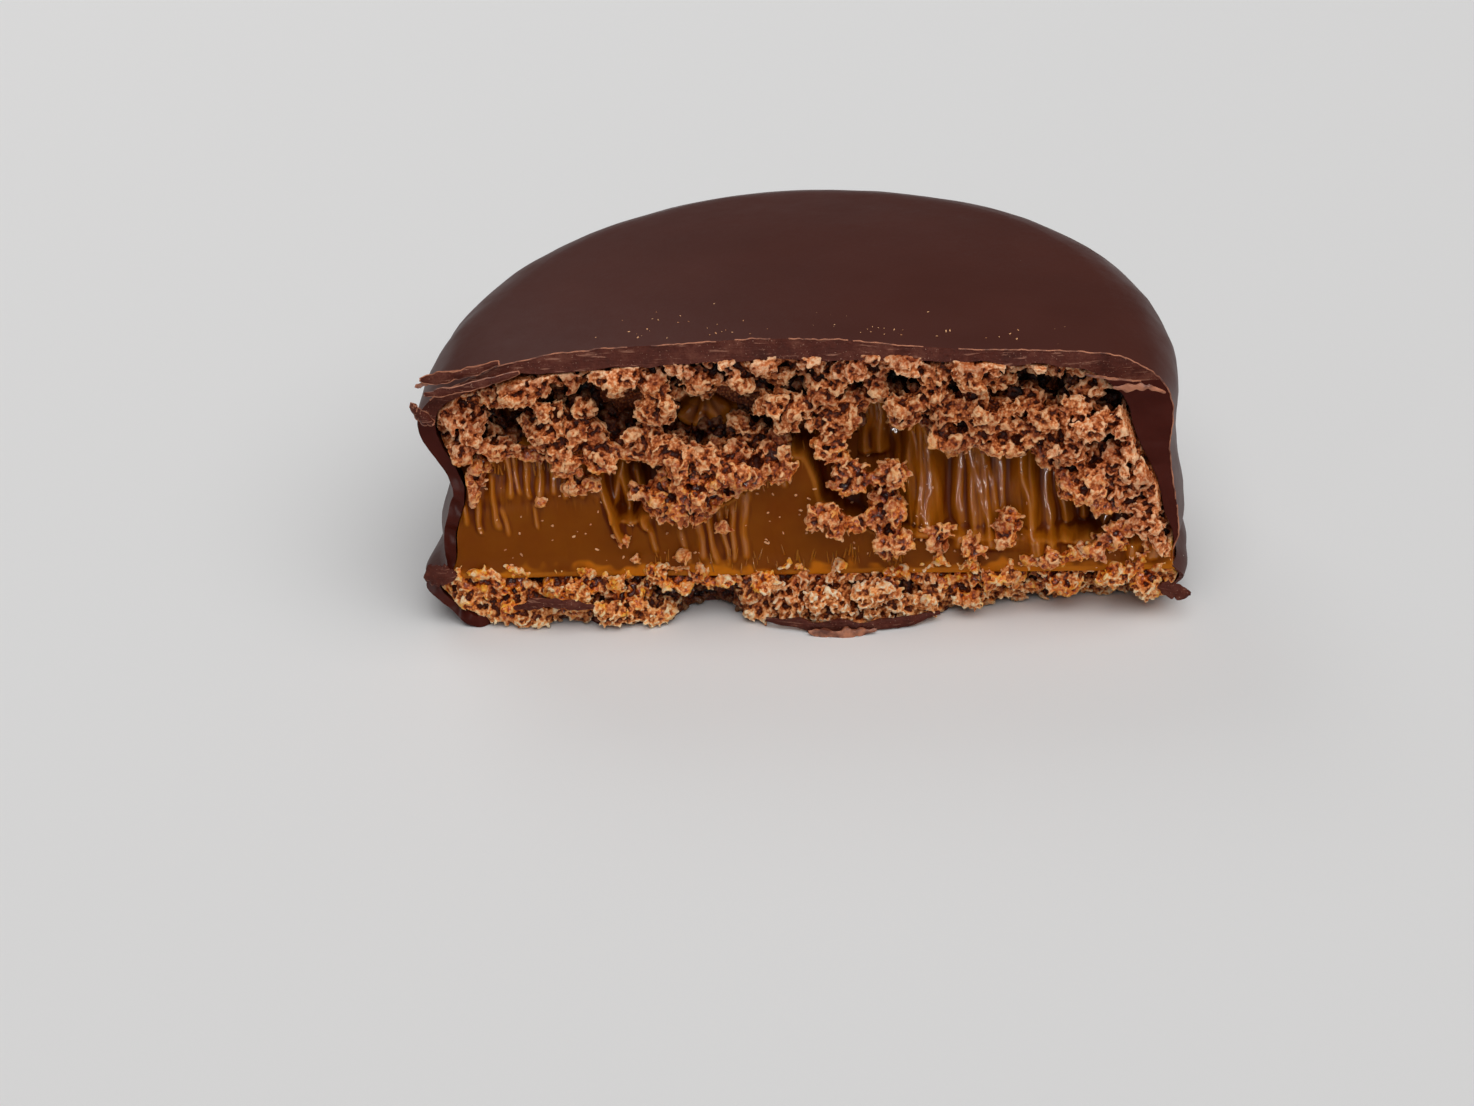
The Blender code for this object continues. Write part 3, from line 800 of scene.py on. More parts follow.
# Pulled ridges: x at the foot, x at the head, foot, head, half width, how far they stand out
RIDGES = ((-27.6, -28.0, 9.2, 12.4, 0.24, 0.35), (-26.3, -27.0, 8.4, 12.8, 0.20, 0.40),
          (-25.0, -25.7, 8.8, 13.2, 0.20, 0.35), (-24.0, -24.4, 11.6, 15.6, 0.24, 0.40),
          (-23.2, -23.5, 12.0, 15.8, 0.20, 0.30), (-22.5, -22.8, 11.6, 15.8, 0.22, 0.35), (-21.4, -21.9, 11.2, 15.8, 0.24, 0.45),
          (-20.3, -20.7, 12.0, 15.4, 0.20, 0.30), (-19.2, -19.5, 11.6, 15.2, 0.22, 0.40), (-24.6, -24.9, 8.2, 10.4, 0.16, 0.20),
          (-17.9, -18.2, 11.6, 14.8, 0.22, 0.30), (-22.0, -22.2, 8.8, 10.6, 0.16, 0.22), (-14.9, -16.9, 7.4, 13.2, 0.30, 1.00),
          (-15.9, -15.2, 9.6, 13.4, 0.34, 0.80), (-14.2, -14.8, 9.2, 14.4, 0.42, 1.00),
          (-13.0, -13.6, 8.6, 13.2, 0.34, 0.80), (-12.4, -12.7, 6.4, 9.8, 0.26, 0.25),
          (-9.6, -10.4, 5.4, 8.2, 0.24, 0.20), (-8.4, -8.9, 5.8, 9.4, 0.26, 0.24), (-7.5, -7.8, 5.4, 9.8, 0.22, 0.34),
          (-6.7, -7.0, 5.2, 10.0, 0.20, 0.28), (-5.9, -6.0, 5.6, 10.4, 0.22, 0.32), (-5.0, -4.8, 5.8, 11.6, 0.26, 0.20),
          (-1.6, -1.4, 12.4, 14.8, 0.34, 0.32), (4.9, 4.8, 13.4, 18.6, 0.70, 1.05), (6.1, 6.1, 13.6, 18.8, 0.62, 1.20),
          (7.7, 7.2, 6.0, 15.6, 0.30, 0.40), (9.5, 9.3, 7.6, 17.2, 1.80, 1.15), (8.5, 8.2, 8.2, 16.4, 0.22, 0.13),
          (9.1, 8.8, 8.4, 17.0, 0.20, 0.15), (9.6, 9.3, 8.6, 17.0, 0.20, 0.17), (10.1, 9.8, 8.4, 16.6, 0.20, 0.16),
          (10.7, 10.4, 8.0, 16.2, 0.20, 0.13),
          (12.3, 12.4, 6.6, 15.4, 0.36, 0.45), (15.0, 14.0, 6.4, 15.8, 1.60, 0.80), (13.9, 12.9, 6.2, 15.2, 0.22, 0.18),
          (14.5, 13.5, 7.4, 14.8, 0.20, 0.16), (15.1, 14.1, 6.8, 15.2, 0.20, 0.18), (15.7, 14.7, 7.0, 15.2, 0.20, 0.16),
          (16.4, 15.4, 7.0, 15.2, 0.22, 0.20),
          (18.5, 17.7, 5.6, 15.4, 1.10, 0.85), (18.2, 17.4, 5.6, 15.0, 0.22, 0.20), (18.8, 18.1, 6.0, 14.6, 0.22, 0.20),
          (20.0, 19.4, 6.0, 14.0, 0.34, 0.50),
          (21.1, 20.4, 7.0, 13.2, 0.50, 0.95), (22.5, 22.0, 7.8, 12.4, 0.34, 0.80), (24.1, 24.6, 6.2, 9.8, 0.42, 0.60),
          (26.3, 26.8, 5.4, 9.2, 0.45, 0.70), (28.0, 28.4, 5.2, 9.0, 0.45, 0.55))
CARAMEL_LOW, CARAMEL_HIGH = 4.2, 19.4


def torn_caramel(x, z):
    """How far back the caramel's face lies at a place of the break, and how much of a pulled strand it is."""
    flat = np.column_stack([x, np.zeros_like(x), z])
    wander = 0.22 * wave(flat * (1.0, 1.0, 0.5), 1.6, 21)
    smooth_top = along_edge(SMOOTH_TOP, x + wander, softness=0.35)
    slow_turn = 0.9 + 2.4 * ease((-15.5 - x) / 1.5)
    above = ease((z - smooth_top + 0.15 * wave(flat, 0.8, 22)) / slow_turn)
    torn = along_edge(TORN_DEPTH, x + wander, softness=0.5)
    torn = torn + along_edge(TORN_LEAN, x) * ease((z - 6.5) / 9.5) + 0.25 * wave(flat * (1.0, 1.0, 0.35), 1.2, 23)
    cut = 0.20 + 0.12 * wave(flat, 6.0, 24) + 0.03 * wave(flat, 1.4, 25) - 0.20 * ease((6.2 - z) / 1.8)
    combed = flat + np.column_stack([0.35 * wave(flat * (1.0, 1.0, 0.4), 2.2, 27), 0.0 * x, 0.0 * x])
    threads = wave(combed * (1.0, 1.0, 0.09), 0.34, 26) + 0.6 * wave(combed * (1.0, 1.0, 0.06), 0.17, 28)
    under_biscuit = ease((z - along_edge(UNDERSIDE, x, 0.5) - 0.4) / 0.9)
    scored = ease((z - smooth_top + 2.2) / 2.6)
    depth = cut + (torn - cut) * above - (0.008 + 0.042 * scored) * threads + 2.6 * under_biscuit
    step = np.exp(-((z - smooth_top - 0.1) / 0.55) ** 2) * ease((-16.5 - x) / 1.0)
    depth += 0.12 * step
    bend = 0.20 * wave(flat * (1.0, 1.0, 0.5), 1.4, 29)
    strands = np.zeros_like(x)
    for foot_x, head_x, foot, head, wide, out in RIDGES:
        share = np.clip((z - foot) / (head - foot), -0.2, 1.2)
        middle = foot_x + (head_x - foot_x) * share + 0.16 * np.sin(0.55 * z + 5.0 * foot_x) + bend
        reach = ease((z - foot) / 0.9 + 0.5) * ease((head - z) / 1.2 + 0.5)
        strand = reach * np.exp(-np.abs((x - middle) / wide) ** 1.8)
        depth -= out * strand
        strands = np.maximum(strands, strand if wide < 0.8 else 0.4 * strand)
    return depth, strands


# %% Push and pull the sheet
def close_behind(sheet, depth):
    """Extrude the sheet's border straight back to one depth, and close it there."""
    only(sheet)
    bpy.ops.object.mode_set(mode="EDIT")
    bpy.ops.mesh.select_mode(type="EDGE")
    bpy.ops.mesh.select_all(action="DESELECT")
    bpy.ops.mesh.select_non_manifold()
    bpy.ops.mesh.extrude_edges_move(TRANSFORM_OT_translate={"value": (0.0, 10.0 * MM, 0.0)})
    bpy.ops.transform.resize(value=(1.0, 0.0, 1.0), center_override=place(0.0, depth, 0.0))
    bpy.ops.mesh.edge_face_add()
    bpy.ops.mesh.select_all(action="SELECT")
    bpy.ops.mesh.normals_make_consistent(inside=False)
    bpy.ops.mesh.select_mode(type="VERT")
    bpy.ops.object.mode_set(mode="OBJECT")


caramel = upright_grid("caramel_face", -30.4, 30.4, CARAMEL_LOW, CARAMEL_HIGH, cell=0.115)
points = points_of(caramel)
points[:, 1], strands = torn_caramel(points[:, 0], points[:, 2])
set_points(caramel, points)
store(caramel, "strand", strands)
close_behind(caramel, 9.0)
set_points(caramel, inside_room(points_of(caramel), gap=0.05))
print("the caramel has", triangles(caramel), "triangles and", len(RIDGES), "ridges")

# %% [markdown]
# Cooked milk caramel is amber brown and glossy. Light and shade are painted into its colour too: the thin crests get a
# painted pale highlight and the pulled strands a painted lighter amber, as of light let through them; the deep pockets
# and the clefts are painted dark red as painted shade; and along the lower biscuit a thin film of it has a painted
# orange glow. The depth of each point, its height over the biscuit and how sharply it stands out are stored on the
# mesh, and the recipe reads them.

# %% The caramel's finish
def attribute(material, name):
    return add_node(material, "Attribute", {}, attribute_name=name).outputs["Fac"]


def make_caramel():
    material, shader = new_finish("milk_caramel")
    slow = cloudy(material, 3.5, detail=3.0)
    body = tinted(material, slow, ((0.30, (0.205, 0.0440, 0.0004)), (0.70, (0.245, 0.0620, 0.0010))))
    # Points deep behind the torn face are painted dark red: painted shade in the pockets.
    body = mixed(material, attribute(material, "painted_pocket_shade"), body, (0.085, 0.0100, 0.0004))
    # The pulled strands are painted a lighter amber: painted light, as of light let through them.
    painted_strand_light = between(material, attribute(material, "strand"), 0.05, 0.40, 0.0, 0.75)
    body = mixed(material, painted_strand_light, body, (0.430, 0.1200, 0.0035))
    # Sharp crests are painted pale orange: a painted highlight.
    painted_crest_highlight = between(material, attribute(material, "fine_tip"), 0.56, 0.90, 0.0, 0.7)
    body = mixed(material, painted_crest_highlight, body, (0.500, 0.165, 0.0160))
    # Fine clefts are painted nearly black-red: painted shade.
    painted_cleft_shade = between(material, attribute(material, "fine_tip"), 0.45, 0.20, 0.0, 0.85)
    body = mixed(material, painted_cleft_shade, body, (0.100, 0.0110, 0.0004))
    # Along the lower biscuit a bright orange is painted in patches: a painted glow of the thin film.
    ragged = worked(material, "MULTIPLY", attribute(material, "painted_floor_glow"), between(material, slow, 0.38, 0.58))
    body = mixed(material, ragged, body, (0.600, 0.1700, 0.0030))
    feed(material, shader.inputs["Base Color"], body)
    feed(material, shader.inputs["Roughness"], between(material, slow, 0.3, 0.7, 0.34, 0.46))
    shader.inputs["Specular IOR Level"].default_value = 0.05
    wet = worked(material, "MULTIPLY", between(material, attribute(material, "strand"), 0.34, 0.70),
                 between(material, cloudy(material, 1.6, detail=3.0), 0.42, 0.56, 0.06, 0.85))
    feed(material, shader.inputs["Coat Weight"], wet)
    shader.inputs["Coat Roughness"].default_value = 0.04
    shader.inputs["Subsurface Weight"].default_value = 0.20
    shader.inputs["Subsurface Radius"].default_value = (1.0, 0.30, 0.04)
    shader.inputs["Subsurface Scale"].default_value = 1.0 * MM
    threads = worked(material, "MULTIPLY", attribute(material, "strand"),
                     cloudy(material, 0.15, detail=2.0, stretch=(1.0, 1.0, 12.0)))
    bumped(material, shader, threads, 0.035)
    bumped(material, shader, cloudy(material, 0.45, detail=3.0), 0.010)
    return material


points = points_of(caramel)
mark_tips(caramel, fine=6, broad=40)
lean = along_edge(TORN_LEAN, points[:, 0]) * ease((points[:, 2] - 6.5) / 9.5)
# The depth behind the torn face's lean is kept for the painted shade in the pockets.
store(caramel, "painted_pocket_shade", ease((points[:, 1] - 1.1 - lean) / 2.2))
# A ragged low band along the lower biscuit is kept for the painted orange glow.
store(caramel, "painted_floor_glow", ease((5.3 - points[:, 2] + 0.6 * wave(points, 0.9, 34)) / 0.6))
caramel.data.materials.append(make_caramel())
only(caramel)
bpy.ops.object.shade_smooth()
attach(caramel, "root")
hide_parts("caramel_filling")

caramel_rest = rest_of_layer("caramel_rest", ((4.9, -1.4), (8.0, -1.1), (12.8, -1.2), (15.0, -1.4)), 15.1,
                             caramel.data.materials[0])
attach(caramel_rest, "root")
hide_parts("caramel_filling")

# %% [markdown]
# A drop of caramel also hangs in the large cave above, shiny and painted dark all over with the painted shade of the
# pockets. It is a sphere drawn out downwards, with the same upright threads pressed into it.

# %% The hanging drop
bpy.ops.mesh.primitive_uv_sphere_add(segments=64, ring_count=32, radius=MM, location=place(-7.9, 4.0, 17.0))
drop = added("caramel_drop")
drop.scale = (2.5, 1.3, 2.0)
settle(drop)
points = points_of(drop)
lengthways = np.sin(9.0 * np.arctan2(points[:, 1] - 4.0, points[:, 0] + 7.9) + 1.2 * wave(points, 1.2, 35))
points[:, 0:2] += (points[:, 0:2] - (-7.9, 4.0)) * (0.04 * lengthways + 0.22 * wave(points, 1.1, 36))[:, None]
set_points(drop, points)
mark_tips(drop, fine=2, broad=6)
# The whole drop gets the full painted shade of the pockets.
store(drop, "painted_pocket_shade", np.full(len(points), 1.0))
store(drop, "painted_floor_glow", np.zeros(len(points)))
store(drop, "strand", 0.35 + 0.15 * lengthways)
drop.data.materials.append(caramel.data.materials[0])
only(drop)
bpy.ops.object.shade_smooth()
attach(drop, "root")
print("the drop has", triangles(drop), "triangles")

# %% [markdown]
# ## The crumb
# A broken biscuit shows thousands of crinkled crumbs: lumps made of smaller lumps, with dark holes between them.
# Scattering loose grains would leave them floating, so the crumb is grown instead. A rough bed and the larger
# lumps that the eye can name are joined into one body. Then it is swollen in stages: each stage raises small
# domes along the surface, and a voxel remesh makes the domes one skin again, so the next stage grows on their
# sides too and they overhang like cauliflower.

# %% [markdown]
# The stages of swelling use Blender's own textures on Displace modifiers. A Voronoi texture with squared distance
# makes round domes with sharp clefts between them, which is the very shape of a crumb.

# %% Swell, and make one skin
def swell(thing, kind, size, height, level=0.5, seed=0.0):
    """Raise a pattern of a size, by a height, both in millimetres."""
    pattern = bpy.data.textures.new(f"{thing.name}_{kind}", kind)
    pattern.noise_scale = size * MM
    if kind == "MUSGRAVE":
        pattern.musgrave_type = "RIDGED_MULTIFRACTAL"
    if kind == "VORONOI":
        pattern.distance_metric = "DISTANCE_SQUARED"
    step = thing.modifiers.new("swell", "DISPLACE")
    step.texture = pattern
    step.texture_coords = "LOCAL"
    step.strength = height * MM
    step.mid_level = level
    apply_modifiers(thing)
    bpy.data.textures.remove(pattern)


def one_skin(thing, voxel):
    step = thing.modifiers.new("skin", "REMESH")
    step.mode = "VOXEL"
    step.voxel_size = voxel * MM
    apply_modifiers(thing)


def lump(x, y, z, wide, deep, high, seed):
    """A lopsided lump of biscuit, given in millimetres from home."""
    bpy.ops.mesh.primitive_ico_sphere_add(subdivisions=3, radius=MM, location=place(x, y, z))
    thing = added("lump")
    thing.scale = (wide, deep, high)
    settle(thing)
    points = points_of(thing)
    points += (points - (x, y, z)) * (0.30 * wave(points, 1.6, seed))[:, None]
    set_points(thing, points)
    return thing


# %% [markdown]
# Between the lumps a real break shows thin curled flakes of crumb, with pale edges. Most of them stand on edge,
# like petals, and some lie flat. One flake is modelled: a small grid cupped like a petal and given a thickness.
# Copying it thousands of times by operator would take minutes, so the copies' points are worked out together and
# made one mesh, which is then joined to the body.

# %% Flakes
def one_flake():
    bpy.ops.mesh.primitive_grid_add(x_subdivisions=3, y_subdivisions=3, size=MM, location=home)
    thing = settle(added("flake"))
    points = points_of(thing)
    radius = np.hypot(points[:, 0], points[:, 1])
    points[:, 0:2] *= 1.0 - 0.35 * ease((radius - 0.5) / 0.25)[:, None]
    points[:, 2] = 0.8 * points[:, 0] ** 2 - 0.3 * points[:, 1] ** 2 - 0.6 * points[:, 0] * points[:, 1]
    set_points(thing, points)
    step = thing.modifiers.new("thick", "SOLIDIFY")
    step.thickness = 0.26 * MM
    apply_modifiers(thing)
    return thing


def scattered(shape, name, spots, normals, sizes, seed, unlike=0.0, loose=0.75):
    """Copies of a shape at many spots, each turned at random, drawn out a little and tilted away from its normal."""
    chance = np.random.default_rng(seed)
    local = points_of(shape)
    faces = [tuple(face.vertices) for face in shape.data.polygons]
    upright = normals + loose * chance.normal(size=normals.shape)
    upright /= np.linalg.norm(upright, axis=1)[:, None]
    sideways = np.cross(upright, chance.normal(size=normals.shape))
    sideways /= np.linalg.norm(sideways, axis=1)[:, None]
    turns = np.stack([sideways, np.cross(upright, sideways), upright], axis=2)
    drawn = chance.uniform((1.0 - unlike, 1.0 - 1.4 * unlike, 1.0), (1.0 + unlike, 1.0, 1.0), (len(spots), 3))
    placed = np.einsum("nij,nvj->nvi", turns, local[None] * drawn[:, None]) * sizes[:, None, None] + spots[:, None, :]
    mesh = bpy.data.meshes.new(name)
    rows = [tuple(corner + copy * len(local) for corner in face) for copy in range(len(spots)) for face in faces]
    mesh.from_pydata((placed.reshape(-1, 3) * MM + np.array(home)).tolist(), [], rows)
    thing = bpy.data.objects.new(name, mesh)
    bpy.context.collection.objects.link(thing)
    bpy.data.objects.remove(shape, do_unlink=True)
    return thing


def with_flakes(thing, count, smallest, largest, seed):
    """Stand flakes on the front of a body and join them to it."""
    chance = np.random.default_rng(seed)
    points = points_of(thing)
    normals = np.empty(len(points) * 3)
    thing.data.vertices.foreach_get("normal", normals)
    normals = normals.reshape(-1, 3)
    behind = points[:, 1] - lean_of_break(points[:, 0], points[:, 2])
    edges = np.empty(len(thing.data.edges) * 2, dtype=np.int64)
    thing.data.edges.foreach_get("vertices", edges)
    stands_out = ((points - smoothed(points, edges.reshape(-1, 2), 14)) * normals).sum(axis=1)
    front = np.flatnonzero((behind < 1.6) & (normals[:, 1] < 0.35) & (stands_out > -0.02))
    picked = chance.choice(front, count, replace=False)
    sizes = smallest + (largest - smallest) * chance.random(count) ** 2
    outwards = normals[picked]
    on_edge = np.cross(outwards, chance.normal(size=outwards.shape))
    on_edge /= np.linalg.norm(on_edge, axis=1)[:, None]
    lying = (chance.random(count) < 0.35)[:, None]
    spots = points[picked] + np.where(lying, 0.10, 0.16 * sizes[:, None]) * outwards
    flakes = scattered(one_flake(), "flakes", spots, np.where(lying, outwards, on_edge), sizes, seed,
                       unlike=0.5, loose=0.4)
    return joined([thing, flakes], thing.name)


# %% [markdown]
# The upper biscuit's break is the roughest. Its underside tore unevenly from the caramel and sinks towards the
# right, there are caves in its face, and lumps of it hang down over the caramel.

# %% The upper biscuit's bed and lumps
UPPER_TOP = ((-31.0, 24.8), (31.0, 24.8))
# Caves in the face: x, z, half width, half height, depth
UPPER_CAVES = ((-23.2, 18.1, 1.8, 1.3, 3.4), (-14.6, 19.2, 3.4, 2.1, 4.8), (-10.0, 21.8, 1.4, 0.8, 3.0),
               (-4.8, 18.6, 3.3, 1.9, 4.8), (-8.2, 18.2, 3.2, 2.2, 4.6), (-1.3, 21.3, 1.4, 0.9, 3.0),
               (0.0, 16.6, 1.2, 1.0, 3.6), (8.2, 21.5, 1.1, 0.9, 3.0), (19.0, 21.8, 2.5, 1.3, 3.6),
               (24.6, 20.2, 1.5, 1.7, 3.0), (17.2, 18.0, 0.9, 0.9, 2.8), (22.2, 16.1, 2.5, 0.8, 3.4),
               (-27.0, 17.4, 1.5, 0.6, 2.6), (5.6, 18.6, 2.0, 0.9, 3.0), (-19.6, 20.6, 1.2, 0.7, 2.4),
               (12.4, 22.0, 1.0, 0.7, 2.2), (-26.0, 14.8, 2.0, 0.8, 2.0), (4.8, 21.0, 0.8, 0.8, 2.4),
               (27.2, 17.0, 0.7, 1.3, 2.6), (-20.5, 19.0, 0.7, 1.6, 2.2))
DEEPEST = 4.3
# Lumps that stand out or hang down: x, y, z, half width, half depth, half height
UPPER_LUMPS = ((-27.6, 0.1, 18.9, 1.5, 1.2, 1.2), (-27.9, 0.2, 16.3, 1.3, 1.1, 0.9), (-26.3, 0.5, 13.8, 0.65, 0.8, 1.8),
               (-24.6, 0.4, 16.3, 1.8, 1.2, 0.9), (-20.6, -0.1, 17.8, 1.4, 1.3, 1.8), (-19.0, -0.2, 16.0, 2.1, 1.3, 1.3),
               (-16.4, -0.2, 16.1, 1.7, 1.2, 1.2), (-17.6, 0.7, 19.0, 1.2, 1.4, 1.4), (-12.2, 0.0, 16.9, 1.8, 1.2, 1.3),
               (-10.9, 0.1, 20.2, 1.2, 1.4, 1.3), (-13.8, -0.2, 22.0, 2.1, 1.0, 1.0), (-21.8, -0.2, 22.0, 2.4, 0.9, 0.9),
               (-8.8, -0.3, 15.1, 2.0, 1.4, 1.4), (-5.6, -0.6, 14.8, 2.2, 1.5, 1.6), (-2.4, -0.4, 15.0, 1.9, 1.4, 1.4),
               (-11.8, -0.4, 12.3, 2.3, 1.3, 1.5), (-8.8, -0.6, 12.0, 2.0, 1.3, 1.6), (-10.4, -0.6, 10.3, 1.9, 1.0, 1.0),
               (-6.6, -0.5, 12.9, 1.6, 1.2, 1.2), (-4.3, 2.0, 17.0, 1.3, 1.0, 1.1), (-1.2, -0.1, 19.5, 1.7, 1.3, 1.1),
               (1.7, -0.3, 20.6, 1.8, 1.2, 1.6), (2.2, -0.4, 18.2, 1.8, 1.3, 1.4), (2.6, -0.7, 15.8, 1.7, 1.1, 1.4),
               (3.9, -0.8, 13.4, 1.5, 1.0, 1.7), (6.9, -0.4, 13.0, 1.3, 1.1, 1.3), (2.8, -0.7, 10.2, 1.8, 0.8, 0.9),
               (5.0, -0.9, 9.4, 1.5, 0.9, 1.2), (7.0, -0.9, 8.0, 1.4, 0.8, 1.2), (6.9, -0.3, 10.9, 1.2, 0.8, 1.1),
               (12.2, -0.5, 19.0, 1.8, 1.3, 1.7), (15.2, -0.6, 19.5, 1.7, 1.3, 1.5), (12.9, -0.6, 16.6, 1.7, 1.3, 1.5),
               (15.6, -0.6, 16.4, 1.7, 1.2, 1.6), (9.2, -0.2, 19.9, 1.8, 1.3, 1.5), (20.8, -0.3, 18.8, 1.7, 1.3, 1.5),
               (23.5, -0.3, 17.8, 1.7, 1.2, 1.4), (19.2, 0.0, 16.9, 1.3, 1.1, 0.9), (20.8, -0.4, 14.7, 2.0, 1.3, 1.5),
               (23.6, -0.5, 13.4, 2.1, 1.3, 1.5), (21.8, -0.4, 12.2, 1.5, 1.1, 1.0), (25.8, -0.2, 15.1, 1.6, 1.2, 1.5),
               (26.8, -0.1, 12.7, 1.7, 1.2, 1.6), (27.7, 0.0, 10.2, 1.6, 1.2, 1.8), (28.6, 0.3, 7.2, 1.0, 0.9, 1.2), (28.4, 0.0, 12.6, 1.1, 1.0, 1.4), (24.6, -0.3, 10.6, 1.2, 1.0, 1.0),
               (26.2, 0.4, 18.0, 1.1, 1.0, 1.5), (28.1, 0.1, 7.6, 1.1, 1.0, 1.3), (26.2, -0.1, 8.4, 1.0, 0.8, 0.8),
               (24.9, 0.1, 7.2, 1.0, 0.7, 0.7), (22.9, 0.1, 6.6, 1.1, 0.7, 0.6), (27.0, 0.1, 6.0, 1.2, 0.8, 0.7))
# Single crumbs that stuck to the caramel, in the same measures
STUCK_CRUMBS = ((-18.0, -0.3, 12.9, 1.2, 0.5, 0.45), (-26.6, -0.2, 11.9, 0.9, 0.5, 0.5), (-15.3, -0.1, 7.6, 0.55, 0.4, 0.4),
                (-21.4, 0.0, 11.3, 0.3, 0.3, 0.3), (-24.6, 0.0, 12.6, 0.35, 0.3, 0.35), (10.2, -0.3, 7.6, 0.9, 0.5, 0.45),
                (11.3, -0.3, 8.5, 0.9, 0.5, 0.5), (13.5, -0.2, 6.8, 0.55, 0.4, 0.5), (15.9, -0.3, 8.2, 0.95, 0.5, 0.75),
                (16.9, -0.1, 7.3, 0.55, 0.3, 0.25), (19.6, -0.1, 5.7, 0.5, 0.4, 0.45), (8.8, -0.2, 6.4, 0.35, 0.3, 0.3),
                (-6.9, -0.3, 8.9, 0.35, 0.3, 0.35), (-10.4, -0.1, 6.4, 0.4, 0.3, 0.35), (-13.8, -0.1, 5.7, 0.35, 0.3, 0.3))


def upper_face(x, z):
    """How far back the upper biscuit's face lies."""
    depth = lean_of_break(x, z) + 0.5
    for middle, level, wide, high, deep in UPPER_CAVES:
        depth += deep * np.exp(-((np.abs(x - middle) / wide) ** 3.2 + (np.abs(z - level) / high) ** 3.2))
    return np.minimum(depth, DEEPEST)


def biscuit_bed(name, face, underside, top, cell, back):
    """A rough block from its underside up to its top, whose front is the broken face."""
    bed = upright_grid(name, -31.2, 31.2, 0.0, 9.0, cell)
    points = points_of(bed)
    bottom = along_edge(underside, points[:, 0], softness=0.5)
    uneven_top = along_edge(top, points[:, 0]) + 0.5 * wave(points * (1.0, 0.0, 0.0), 1.7, 56)
    points[:, 2] = bottom + (uneven_top - bottom) * points[:, 2] / 9.0
    points[:, 1] = face(points[:, 0], points[:, 2])
    set_points(bed, points)
    thicken(bed, back)
    return bed


def all_lumps(rows, seed):
    return [lump(*row, seed=seed + count) for count, row in enumerate(rows)]


bed = biscuit_bed("upper_bed", upper_face, UNDERSIDE, UPPER_TOP, cell=0.35, back=6.0)
upper_crumb = joined([bed] + all_lumps(UPPER_LUMPS + STUCK_CRUMBS, seed=40), "upper_crumb")
print("the upper biscuit starts with", len(UPPER_LUMPS), "lumps and", len(UPPER_CAVES), "caves")

# %% Grow the upper crumb
def grow(thing, voxel, stages, flakes=0):
    """Swell in stages, each on a new skin with the given voxel, and keep inside the coat."""
    for stage, patterns in enumerate(stages):
        one_skin(thing, voxel[stage])
        for pattern in patterns:
            swell(thing, *pattern)
        if stage == 1 and flakes:
            with_flakes(thing, flakes, 0.34, 0.85, seed=7)
        set_points(thing, inside_room(points_of(thing)))
    return thing


grow(upper_crumb, (0.30, 0.17, 0.12),
     ((("CLOUDS", 2.6, 2.0, 0.5), ("VORONOI", 2.3, -3.2, 0.24)),
      (("VORONOI", 1.05, -1.25, 0.25), ("CLOUDS", 0.7, 0.7, 0.5)),
      (("CLOUDS", 0.34, 0.26, 0.5), ("VORONOI", 0.50, -0.08, 0.25))), flakes=5200)
trim(upper_crumb, (0.0, 5.9, 0.0), (0, 1, 0))
mark_tips(upper_crumb, fine=4, broad=70)
mark_depth(upper_crumb, shallow=-0.3, deep=2.5)
points = points_of(upper_crumb)
above = points[:, 2] - along_edge(UNDERSIDE, points[:, 0], 0.5)
store(upper_crumb, "soak", ease((1.6 - above + 0.8 * wave(points, 1.5, 51)) / 2.4))
pale_end = 0.8 * ease((-24.0 - points[:, 0] + 1.5 * wave(points, 2.0, 54)) / 2.0)
pale_side = 0.7 * ease((points[:, 0] - 19.5 + 1.5 * wave(points, 2.0, 55)) / 2.5)
dry_top = ease((points[:, 2] - 22.4 - 0.8 * wave(points, 3.0, 52)) / 0.8)
store(upper_crumb, "crust", np.maximum(dry_top, np.maximum(pale_end, pale_side)))
print("the upper crumb has", triangles(upper_crumb), "triangles")

# %% [markdown]
# Baked cocoa crumb is matt and a little greasy. Its faces are a warm brown; its tips are painted pale tan, partly the
# dry crumb's colour and partly painted light, and its clefts and caves are painted nearly black-brown as painted shade;
# here and there a patch is greyer or has drunk some caramel. The small grain inside a crumb is too fine for the mesh,
# so it is a bump.

